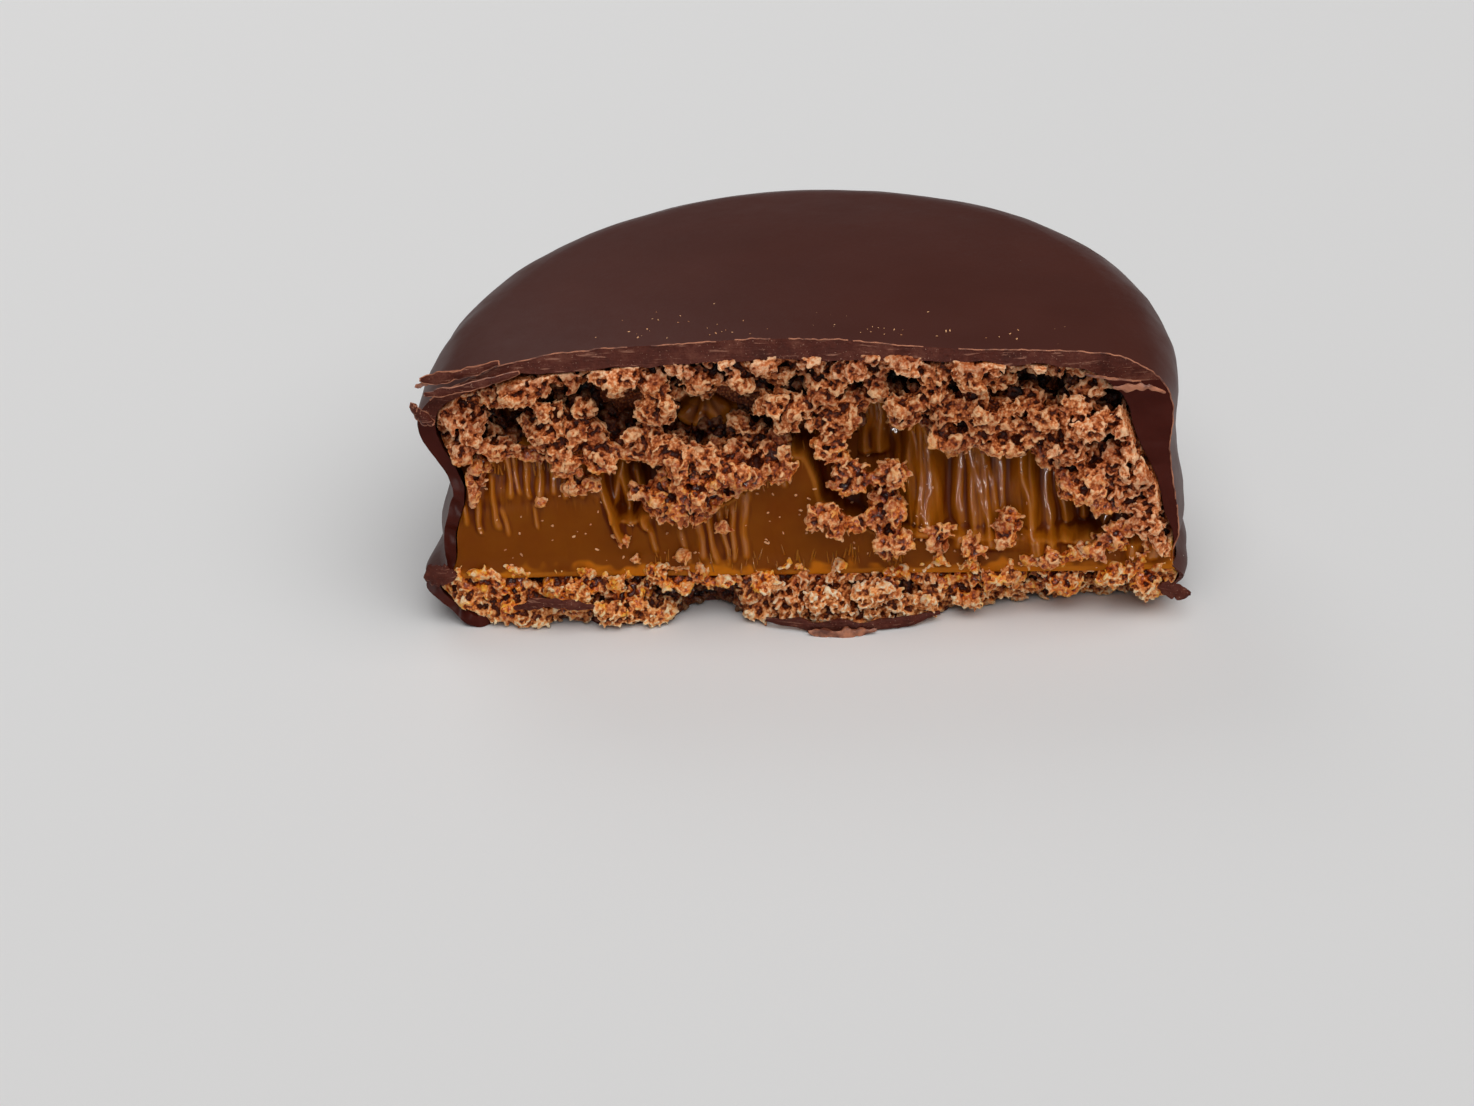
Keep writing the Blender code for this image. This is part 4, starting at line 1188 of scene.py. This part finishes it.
# %% The crumb's finish
def make_crumb(name, deep, middle, pale, tip, soaked, patch):
    material, shader = new_finish(name)
    grain = cloudy(material, 0.20, detail=4.0, harsh=0.7)
    grains = between(material, cells(material, 0.24).outputs["Distance"], 0.62, 0.14)
    # The tips are painted pale and the clefts dark by how far each point stands out, finely and broadly, mixed with the
    # real grain: partly the dry crumb's own colour, and partly painted light and painted shade.
    shape = add_node(material, "Math", {0: attribute(material, "fine_tip"), 1: 0.27, 2: -0.05},
                     operation="MULTIPLY_ADD")
    shape = add_node(material, "Math", {0: grains, 1: 0.16, 2: shape.outputs["Value"]}, operation="MULTIPLY_ADD")
    shape = add_node(material, "Math", {0: attribute(material, "broad_tip"), 1: 0.46, 2: shape.outputs["Value"]},
                     operation="MULTIPLY_ADD")
    value = add_node(material, "Math", {0: grain, 1: 0.20, 2: shape.outputs["Value"]}, operation="MULTIPLY_ADD")
    crumb = tinted(material, value.outputs["Value"], ((0.31, deep), (0.43, middle), (0.56, pale), (0.70, tip)))
    patches = between(material, cloudy(material, 1.8, detail=3.0), 0.47, 0.64, 0.0, 0.90)
    crumb = mixed(material, patches, crumb, patch, blend="MULTIPLY")
    drunk = worked(material, "MULTIPLY", attribute(material, "soak"),
                   between(material, cloudy(material, 1.1, detail=3.0), 0.40, 0.58))
    crumb = mixed(material, drunk, crumb, soaked, blend="MULTIPLY")
    crumb = mixed(material, attribute(material, "crust"), crumb, (1.10, 1.14, 1.28), blend="MULTIPLY")
    # Deep in the caves of the break the colour is darkened: painted shade.
    crumb = mixed(material, attribute(material, "cave"), crumb, (0.17, 0.11, 0.08), blend="MULTIPLY")
    feed(material, shader.inputs["Base Color"], crumb)
    feed(material, shader.inputs["Roughness"], between(material, grain, 0.3, 0.7, 0.30, 0.60))
    shader.inputs["Specular IOR Level"].default_value = 0.10
    feed(material, shader.inputs["Coat Weight"], between(material, drunk, 0.0, 1.0, 0.0, 0.4))
    shader.inputs["Coat Roughness"].default_value = 0.18
    bumped(material, shader, grain, 0.07)
    bumped(material, shader, grains, 0.05)
    return material


# The four crumb colours run from the clefts' painted shade, through the faces and the pale crumb, to the tips with
# painted light; then the soaked tint and the greyer patch.
upper_finish = make_crumb("cocoa_crumb", (0.070, 0.0095, 0.0015), (0.370, 0.0740, 0.0130), (0.780, 0.2450, 0.0720),
                          (1.000, 0.5700, 0.2900), (0.95, 0.70, 0.30), (0.58, 0.42, 0.36))
upper_crumb.data.materials.append(upper_finish)
only(upper_crumb)
bpy.ops.object.shade_smooth()
upper_parts = in_parts(upper_crumb, (-19.0, -9.0, 1.0, 11.0, 20.5),
                       ("upper_crumb_1", "upper_crumb_2", "upper_crumb_3", "upper_crumb_4", "upper_crumb_5",
                        "upper_crumb_6"))
upper_parts.append(rest_of_layer("upper_rest", ((15.3, -1.5), (17.8, -1.3), (19.8, -1.7), (21.2, -2.8), (22.2, -4.6)),
                                 24.4, upper_finish))
for part in upper_parts:
    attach(part, "root")
    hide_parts("upper_biscuit")

# %% [markdown]
# ## The lower biscuit
# The lower biscuit is thin, and it drank some caramel from above. Its crumb is finer and flatter, paler in the
# middle, and it is grown in the same way. Where the base coat broke away, the crumb broke with it.

# %% The lower biscuit's bed and lumps
LOWER_UNDERSIDE = ((-31.2, 0.9), (-28.5, 0.5), (-26.0, 0.35), (26.0, 0.35), (28.5, 0.4), (31.2, 0.7))
LOWER_TOP = ((-31.0, 4.7), (18.0, 4.7), (20.5, 5.3), (23.0, 6.3), (31.0, 6.8))
LOWER_CAVES = ((-25.4, 2.4, 0.7, 0.5, 1.2), (-21.6, 4.2, 0.9, 0.4, 1.4), (-18.6, 2.2, 1.3, 0.5, 1.8),
               (-14.2, 3.8, 1.0, 0.4, 1.8), (-12.2, 2.5, 1.1, 0.7, 2.2), (-9.4, 3.2, 0.5, 0.7, 1.6),
               (-4.1, 4.4, 0.8, 0.3, 2.0), (-6.6, 2.6, 0.7, 0.4, 1.4), (1.2, 2.1, 0.4, 0.8, 1.4), (4.2, 2.0, 0.9, 0.3, 1.4),
               (8.2, 3.0, 1.1, 0.7, 1.4), (11.6, 3.9, 1.3, 0.4, 1.6), (14.2, 2.7, 0.8, 0.4, 1.4),
               (18.2, 2.6, 0.6, 0.4, 1.4), (23.0, 3.1, 0.8, 0.4, 1.4), (26.4, 2.2, 0.7, 0.4, 1.4))
LOWER_LUMPS = ((-26.6, 0.4, 3.2, 1.3, 1.0, 1.1), (-24.0, 0.1, 1.6, 1.2, 1.0, 0.8), (-19.8, -0.6, 3.1, 2.0, 0.9, 0.9),
               (-16.2, -1.1, 1.6, 1.5, 0.9, 0.8), (-15.8, -0.4, 3.9, 1.0, 0.9, 0.6), (-10.8, -0.3, 3.7, 1.3, 0.9, 0.6),
               (-7.6, 0.6, 3.6, 1.4, 1.0, 0.7), (-3.2, -0.3, 3.7, 1.6, 1.0, 0.7), (1.0, -1.2, 2.6, 1.8, 0.8, 0.9),
               (5.4, -1.1, 3.0, 1.8, 0.8, 1.0), (9.6, -0.4, 1.6, 1.3, 0.8, 0.7), (13.0, 0.2, 1.5, 1.5, 1.0, 0.8),
               (16.0, 0.2, 3.8, 1.4, 1.0, 0.6), (20.6, 0.6, 2.6, 1.6, 1.0, 0.9), (25.0, 0.3, 3.9, 1.5, 1.0, 0.8),
               (27.4, 0.5, 2.6, 1.1, 1.0, 1.2), (28.3, 1.4, 1.6, 0.9, 0.9, 1.0), (28.6, 0.8, 4.4, 0.9, 0.9, 1.2), (29.0, 1.6, 3.2, 0.8, 0.8, 1.0), (21.8, 0.3, 5.6, 1.2, 0.8, 0.8), (24.4, 0.4, 6.4, 1.3, 0.8, 0.7), (26.8, 0.3, 5.2, 1.2, 0.8, 0.9),
               (-26.8, -0.1, 4.7, 0.8, 0.5, 0.5), (-23.4, 0.2, 4.6, 1.0, 0.5, 0.45), (-18.4, -0.1, 4.9, 0.6, 0.5, 0.5),
               (-12.6, 0.1, 4.6, 0.9, 0.5, 0.6), (-9.0, -0.1, 4.9, 0.6, 0.5, 0.4), (-1.4, 0.2, 4.6, 1.0, 0.5, 0.5),
               (2.6, -0.1, 5.0, 0.7, 0.5, 0.5), (7.4, 0.1, 4.7, 1.0, 0.5, 0.5), (10.6, -0.1, 5.1, 0.6, 0.5, 0.6),
               (13.4, -0.2, 4.9, 0.8, 0.5, 0.5), (18.0, -0.1, 5.3, 0.9, 0.5, 0.6),
               (-28.9, 0.2, 2.2, 0.9, 0.9, 0.9), (-29.0, 0.3, 4.2, 0.9, 0.9, 0.8))


def lower_face(x, z):
    """How far back the lower biscuit's face lies."""
    depth = lean_of_break(x, z) + 0.35
    for middle, half_width, height, back in BASE_BITES:
        depth += back * np.exp(-(np.abs(x - middle) / half_width) ** 4) * ease(1.7 - z / (height + 0.5))
    for middle, level, wide, high, deep in LOWER_CAVES:
        depth += deep * np.exp(-((np.abs(x - middle) / wide) ** 3.0 + (np.abs(z - level) / high) ** 3.0))
    return depth


bed = biscuit_bed("lower_bed", lower_face, LOWER_UNDERSIDE, LOWER_TOP, cell=0.3, back=6.0)
lower_crumb = joined([bed] + all_lumps(LOWER_LUMPS, seed=140), "lower_crumb")

# %% Grow the lower crumb
grow(lower_crumb, (0.26, 0.15, 0.115),
     ((("CLOUDS", 1.8, 0.8, 0.5), ("VORONOI", 1.3, -1.1, 0.22)),
      (("VORONOI", 0.75, -0.60, 0.25), ("CLOUDS", 0.5, 0.45, 0.5)),
      (("CLOUDS", 0.30, 0.24, 0.5), ("VORONOI", 0.45, -0.08, 0.25))), flakes=2600)
trim(lower_crumb, (0.0, 4.2, 0.0), (0, 1, 0))
points = points_of(lower_crumb)
over_coat = points[:, 1] > break_of_coat(points[:, 0], np.full(len(points), 0.45)) + 0.1
points[:, 2] = np.where(over_coat, np.maximum(points[:, 2], BASE_COAT + 0.05), np.maximum(points[:, 2], 0.06))
set_points(lower_crumb, points)
mark_tips(lower_crumb, fine=4, broad=60)
mark_depth(lower_crumb, shallow=0.0, deep=2.0)
dry_middle = np.exp(-((points[:, 0] - 2.5) / 7.5) ** 4)
store(lower_crumb, "soak", ease((points[:, 2] - 0.9 - 2.4 * dry_middle + 1.5 * wave(points, 1.6, 53)) / 1.2))
store(lower_crumb, "crust", 0.8 * dry_middle)
print("the lower crumb has", triangles(lower_crumb), "triangles")
# The four crumb colours run from the clefts' painted shade, through the faces and the pale crumb, to the tips with
# painted light; then the soaked tint and the greyer patch.
lower_finish = make_crumb("soaked_crumb", (0.110, 0.0180, 0.0026), (0.580, 0.1500, 0.0280), (1.000, 0.4400, 0.1450),
                          (1.000, 0.8000, 0.5000), (0.98, 0.60, 0.10), (0.78, 0.62, 0.54))
lower_crumb.data.materials.append(lower_finish)
only(lower_crumb)
bpy.ops.object.shade_smooth()
lower_parts = in_parts(lower_crumb, (-15.0, 0.0, 14.0),
                       ("lower_crumb_1", "lower_crumb_2", "lower_crumb_3", "lower_crumb_4"))
lower_parts.append(rest_of_layer("lower_rest", ((0.95, -2.5), (1.8, -1.4), (3.4, -0.8), (4.8, -1.4)), 4.85,
                                 lower_finish))
for part in lower_parts:
    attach(part, "root")
    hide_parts("lower_biscuit")

# %% [markdown]
# ## Splinters, flakes and dust
# The snap left loose things. Two slivers of coat lifted at the left end of the lip, a thin curl stands below them,
# and at the bottom a flake of the base coat hangs in front. Each is a strip whose outline was torn: a grid is bent
# to the flake's run, its border is made ragged, and Solidify gives it the thickness of the coat.

# %% A torn flake
def torn_flake(name, spine, width, thickness, seed, curl=0.0, ragged=0.16):
    """A strip along a spine of (x, y, z) places, torn along both sides."""
    rows, columns = 10, 8 * len(spine)
    bpy.ops.mesh.primitive_grid_add(x_subdivisions=columns, y_subdivisions=rows, size=2.0 * MM, location=home)
    thing = settle(added(name))
    points = points_of(thing)
    run, side = (points[:, 0] + 1.0) / 2.0, points[:, 1]
    stations = np.linspace(0.0, 1.0, len(spine))
    middle = np.column_stack([np.interp(run, stations, [spot[axis] for spot in spine]) for axis in range(3)])
    taper = np.clip(np.minimum(run / 0.22, (1.0 - run) / 0.30), 0.0, 1.0) ** 0.7
    half = width * taper * (0.5 + ragged * wave(np.column_stack([run * 9.0, np.sign(side) * 3.0, 0.0 * run]), 1.0, seed))
    points = middle.copy()
    points[:, 2] += side * half
    points[:, 1] += curl * (1.0 - side ** 2) * width + 0.06 * wave(points, 0.7, seed + 1)
    set_points(thing, points)
    step = thing.modifiers.new("thick", "SOLIDIFY")
    step.thickness = thickness * MM
    step.offset = 0.0
    apply_modifiers(thing)
    points = points_of(thing)
    points += 0.05 * np.column_stack([wave(points, 0.45, seed + 2 + axis) for axis in range(3)])
    set_points(thing, points)
    bpy.ops.object.shade_smooth_by_angle(angle=math.radians(35))
    return thing


upper_splinter = torn_flake("upper_splinter", ((-29.9, -1.6, 23.5), (-28.6, -1.8, 23.7), (-26.6, -1.7, 24.0),
                                               (-23.6, -1.4, 24.8)), 0.85, 0.28, seed=61, curl=-0.10)
lower_splinter = torn_flake("lower_splinter", ((-29.6, -2.0, 22.4), (-28.0, -2.2, 22.7), (-25.4, -2.0, 23.2),
                                               (-22.0, -1.6, 24.0)), 0.65, 0.26, seed=66, curl=-0.12)
thorn = torn_flake("splinter_thorn", ((-30.5, -1.7, 22.9), (-29.9, -1.6, 23.0), (-29.0, -1.6, 23.3)), 0.32, 0.20, seed=71)
curl = torn_flake("wall_curl", ((-31.0, -0.8, 20.8), (-30.6, -1.4, 20.5), (-30.0, -1.7, 20.2), (-29.3, -1.6, 19.6)),
                  1.1, 0.30, seed=76, curl=-0.25)
hanging_flake = torn_flake("hanging_flake", ((0.0, -2.6, 0.30), (1.6, -2.9, 0.26), (3.4, -2.9, 0.28), (5.4, -2.5, 0.34)),
                           0.75, 0.30, seed=81, curl=-0.05, ragged=0.30)
ledge = torn_flake("base_ledge", ((-3.6, -1.3, 0.75), (0.0, -2.1, 0.55), (4.0, -2.3, 0.55), (8.0, -1.5, 0.65),
                                  (10.6, -0.6, 0.8)), 0.85, 0.35, seed=86, curl=-0.10, ragged=0.28)
left_ledge = torn_flake("left_ledge", ((-24.2, -1.5, 2.2), (-22.2, -2.1, 3.0), (-19.8, -2.1, 2.9), (-17.6, -1.6, 2.3)), 0.8, 0.3,
                        seed=91, curl=-0.10, ragged=0.25)

# Below the lip the chocolate feathered out over the crumb, and at its right end a thin sliver lifted off
sliver = torn_flake("lip_sliver", ((22.6, -2.3, 23.3), (24.4, -2.4, 23.0), (27.0, -2.2, 22.6)), 0.16, 0.14, seed=96)
right_feather = torn_flake("right_feather", ((24.8, -1.9, 21.9), (26.2, -2.1, 22.0), (27.6, -1.9, 22.0),
                                             (28.9, -1.5, 21.2)), 0.42, 0.2, seed=99, curl=-0.1, ragged=0.40)

# At both ends of the foot the coat broke with a pointed ear
left_ear = torn_flake("left_ear", ((-31.5, -0.5, 4.7), (-30.7, -0.8, 4.9), (-29.9, -0.9, 5.1), (-28.9, -0.7, 5.0)), 1.7,
                      0.3, seed=101, curl=-0.1, ragged=0.2)
right_ear = torn_flake("right_ear", ((28.4, -0.5, 2.9), (29.2, -0.8, 2.8), (30.0, -0.8, 2.6), (30.9, -0.5, 2.3)), 1.2, 0.3,
                       seed=104, curl=-0.1, ragged=0.2)

for flake, finish, replaced in ((upper_splinter, chocolate_break, "shell_splinter_upper"),
                                (lower_splinter, chocolate_break, "shell_splinter_lower"),
                                (thorn, chocolate_feather, ""), (curl, chocolate_break, ""),
                                (hanging_flake, chocolate_feather, "base_flake"), (ledge, chocolate_break, ""),
                                (left_ledge, chocolate_break, ""), (sliver, chocolate_feather, ""),
                                (right_feather, chocolate_feather, ""), (left_ear, chocolate_break, ""),
                                (right_ear, chocolate_break, "")):
    flake.data.materials.append(finish)
    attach(flake, "root")
    if replaced:
        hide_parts(replaced)
    print(flake.name, "has", triangles(flake), "triangles")

# %% [markdown]
# The slivers are thin, so their torn edges are copper like the rim's. The same copying of edges gives each of
# them a fine copper hem.

# %% Copper hems
def hem(thing):
    """A copper bead along the sharp border of a flake."""
    spots = points_of(thing)
    sharp = {}
    for face in thing.data.polygons:
        for pair in face.edge_keys:
            sharp.setdefault(pair, []).append(face.normal)
    chosen = [edge.index for edge in thing.data.edges
              if len(sharp[edge.key]) == 2 and sharp[edge.key][0].dot(sharp[edge.key][1]) < 0.55
              and spots[edge.vertices[0]][1] < 5.0]
    line = copied_edges(thing, chosen, thing.name + "_hem")
    bpy.ops.object.convert(target="CURVE")
    line.data.bevel_depth = 0.05 * MM
    line.data.bevel_resolution = 0
    line.data.use_fill_caps = True
    bpy.ops.object.convert(target="MESH")
    line.data.materials.clear()
    line.data.materials.append(chocolate_feather)
    return line


hems = joined([hem(flake) for flake in (upper_splinter, lower_splinter, curl)], "copper_hems")
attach(hems, "root")
print("the hems have", triangles(hems), "triangles")

# %% [markdown]
# Crumb dust settled on the crown beside the break, on the lip and on the sticky caramel. A grain is an icosphere
# knocked out of round, and its copies lie where the surfaces are.

# %% Dust
def grain_shape():
    bpy.ops.mesh.primitive_ico_sphere_add(subdivisions=1, radius=0.5 * MM, location=home)
    thing = settle(added("grain"))
    points = points_of(thing)
    points *= 1.0 + 0.5 * wave(points, 0.35, 95)[:, None]
    set_points(thing, points * (1.2, 0.8, 0.7))
    return thing


def dusted(name, spots, sizes, seed, finish):
    spots = np.array(spots)
    thing = scattered(grain_shape(), name, spots, np.tile((0.0, 0.0, 1.0), (len(spots), 1)), sizes, seed)
    for name_of_mark, value in (("fine_tip", 0.9), ("broad_tip", 0.8), ("soak", 0.0), ("crust", 0.0), ("cave", 0.0)):
        store(thing, name_of_mark, np.full(len(thing.data.vertices), value))
    thing.data.materials.append(finish)
    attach(thing, "root")
    print(name, "has", triangles(thing), "triangles")
    return thing


chance = np.random.default_rng(17)
across = chance.uniform(-24.0, 25.0, 90)
back = np.abs(chance.normal(0.0, 2.2, 90))
crown = np.hypot(across, back - MIDDLE_Y) / (RADIUS - 4.9)
crown_spots = np.column_stack([across, back + 0.2, COOKIE_HEIGHT - 0.10 - 2.0 * np.minimum(crown, 1.0) ** 2])
dusted("crown_dust", crown_spots[crown < 0.96], chance.uniform(0.07, 0.20, int((crown < 0.96).sum())), 18,
       upper_finish)

# %% [markdown]
# Where the biscuit pulled away, the caramel drew out into short threads. One thread is a thin five-sided cone,
# subdivided and bent a little, and its copies hang along the torn edge and low on the smooth face.

# %% Caramel threads
def thread_shape():
    bpy.ops.mesh.primitive_cone_add(vertices=5, radius1=0.5 * MM, radius2=0.12 * MM, depth=6.0 * MM, location=home)
    thing = settle(added("thread"))
    only(thing)
    bpy.ops.object.mode_set(mode="EDIT")
    bpy.ops.mesh.select_all(action="SELECT")
    bpy.ops.mesh.subdivide(number_cuts=1)
    bpy.ops.object.mode_set(mode="OBJECT")
    points = points_of(thing)
    points[:, 0] += 0.5 * np.sin(0.5 * points[:, 2])
    set_points(thing, points)
    return thing


across = np.concatenate([chance.uniform(-28.0, 27.0, 190), chance.uniform(-12.5, 8.0, 60)])
level = along_edge(UNDERSIDE, across, 0.5) - chance.uniform(0.1, 1.6, 250)
on_mound = (across > -12.0) & (across < -2.5)
level[on_mound] = along_edge(SMOOTH_TOP, across[on_mound], 0.5) - chance.uniform(-0.8, 0.7, int(on_mound.sum()))
level[190:] = chance.uniform(5.0, 6.6, 60)
behind, _ = torn_caramel(across, level)
thread_spots = np.column_stack([across, behind - 0.02, level])
threads = scattered(thread_shape(), "caramel_threads", thread_spots, np.tile((0.0, 0.25, 1.0), (250, 1)),
                    chance.uniform(0.10, 0.24, 250), 23, loose=0.12)
# The threads get the painted light of the strands and part of the painted highlight of the crests, and none of the
# painted shade or glow.
for mark, value in (("strand", 1.0), ("fine_tip", 0.75), ("painted_pocket_shade", 0.0), ("painted_floor_glow", 0.0)):
    store(threads, mark, np.full(len(threads.data.vertices), value))
threads.data.materials.append(caramel.data.materials[0])
only(threads)
bpy.ops.object.shade_smooth()
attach(threads, "root")
print("the caramel threads have", triangles(threads), "triangles")

# %% Dust on the caramel
across, level = chance.uniform(-27.0, 26.0, 140), chance.uniform(5.2, 14.5, 140)
caramel_spots = np.column_stack([across, torn_caramel(across, level)[0], level])
dusted("caramel_dust", caramel_spots, chance.uniform(0.10, 0.32, 140), 19, upper_finish)

# %% [markdown]
# ## Stage, camera and light
# The cookie stands on a plain pale floor. The camera looks down on the break from a little to its right, through
# a long lens, and it is rolled a few degrees, so the right side stands higher in the frame.

# %% Floor
def floor_material():
    material = bpy.data.materials.new("pale_floor")
    material.use_nodes = True
    surface = material.node_tree.nodes["Principled BSDF"]
    surface.inputs["Base Color"].default_value = (0.80, 0.795, 0.79, 1.0)
    surface.inputs["Roughness"].default_value = 0.85
    return material


FLOOR_DROP = 0.05
bpy.ops.mesh.primitive_plane_add(size=6.0, location=place(0.0, 0.0, -FLOOR_DROP))
floor = added("floor")
floor.data.materials.append(floor_material())

# %% Camera
VIEW_AZIMUTH, VIEW_ELEVATION, VIEW_ROLL = math.radians(4.5), math.radians(31.0), math.radians(3.0)
VIEW_DISTANCE = 320.0
LENS, SENSOR = 95.1, 36.0
FRAME_WIDTH, FRAME_HEIGHT = 1474.0, 1106.0
HOME_RIGHT, HOME_DOWN = 0.0502, 0.0588      # where home lands, from the frame's middle, as shares of its size

back = Vector((math.sin(VIEW_AZIMUTH) * math.cos(VIEW_ELEVATION),
               -math.cos(VIEW_AZIMUTH) * math.cos(VIEW_ELEVATION), math.sin(VIEW_ELEVATION)))
bpy.ops.object.camera_add(location=home + back * VIEW_DISTANCE * MM)
camera = bpy.context.object
camera.data.lens = LENS
camera.data.sensor_width = SENSOR
camera.data.clip_start, camera.data.clip_end = 0.01, 20.0
towards_home = Vector((HOME_RIGHT * SENSOR, -HOME_DOWN * SENSOR * FRAME_HEIGHT / FRAME_WIDTH, -LENS))
swing = Vector((0.0, 0.0, -1.0)).rotation_difference(towards_home).to_matrix()
facing = (-back).to_track_quat("-Z", "Y").to_matrix()
camera.rotation_euler = (facing @ Matrix.Rotation(-VIEW_ROLL, 3, "Z") @ swing.inverted()).to_euler()
bpy.context.scene.camera = camera

# %% [markdown]
# The light is soft studio light. A very large source overhead, a little to the right and in front, is made with a
# sun lamp as wide as a ceiling; it falls evenly on the floor. A soft box behind on the left lifts the background
# and gives the crown its grey sheen. Two upright boxes low in front draw the glints on the caramel's strands; they are left out of the
# diffuse light, so they don't flatten the break. A dim world fills the shadows.

# %% Light
def aimed(light, x, y, z):
    """Put a light at a place, in millimetres from home, and turn it towards the cookie."""
    light.location = place(x, y, z)
    aim = place(0.0, MIDDLE_Y, 12.0) - light.location
    light.rotation_euler = aim.to_track_quat("-Z", "Y").to_euler()


bpy.ops.object.light_add(type="SUN")
ceiling = bpy.context.object
ceiling.name = "ceiling_light"
ceiling.data.angle = math.radians(70.0)
ceiling.data.energy = 2.25
aimed(ceiling, 110.0, -170.0, 420.0)

bpy.ops.object.light_add(type="AREA")
back_box = bpy.context.object
back_box.name = "back_box"
back_box.data.size = 300.0 * MM
back_box.data.energy = 0.44
aimed(back_box, -240.0, 380.0, 430.0)


def strip_box(name, x, y, z, power):
    """A tall area light, whose reflection draws a streak down each strand."""
    bpy.ops.object.light_add(type="AREA")
    box = bpy.context.object
    box.name = name
    box.data.shape = "RECTANGLE"
    box.data.size, box.data.size_y = 22.0 * MM, 240.0 * MM
    box.data.energy = power
    box.visible_diffuse = False
    aimed(box, x, y, z)


strip_box("left_strip", -190.0, -330.0, 120.0, 0.80)
strip_box("right_strip", 120.0, -360.0, 120.0, 0.80)

world = bpy.data.worlds.new("studio")
bpy.context.scene.world = world
world.use_nodes = True
world.node_tree.nodes["Background"].inputs["Color"].default_value = (0.97, 0.98, 1.0, 1.0)
world.node_tree.nodes["Background"].inputs["Strength"].default_value = 0.11
bpy.context.scene.view_settings.view_transform = "Standard"
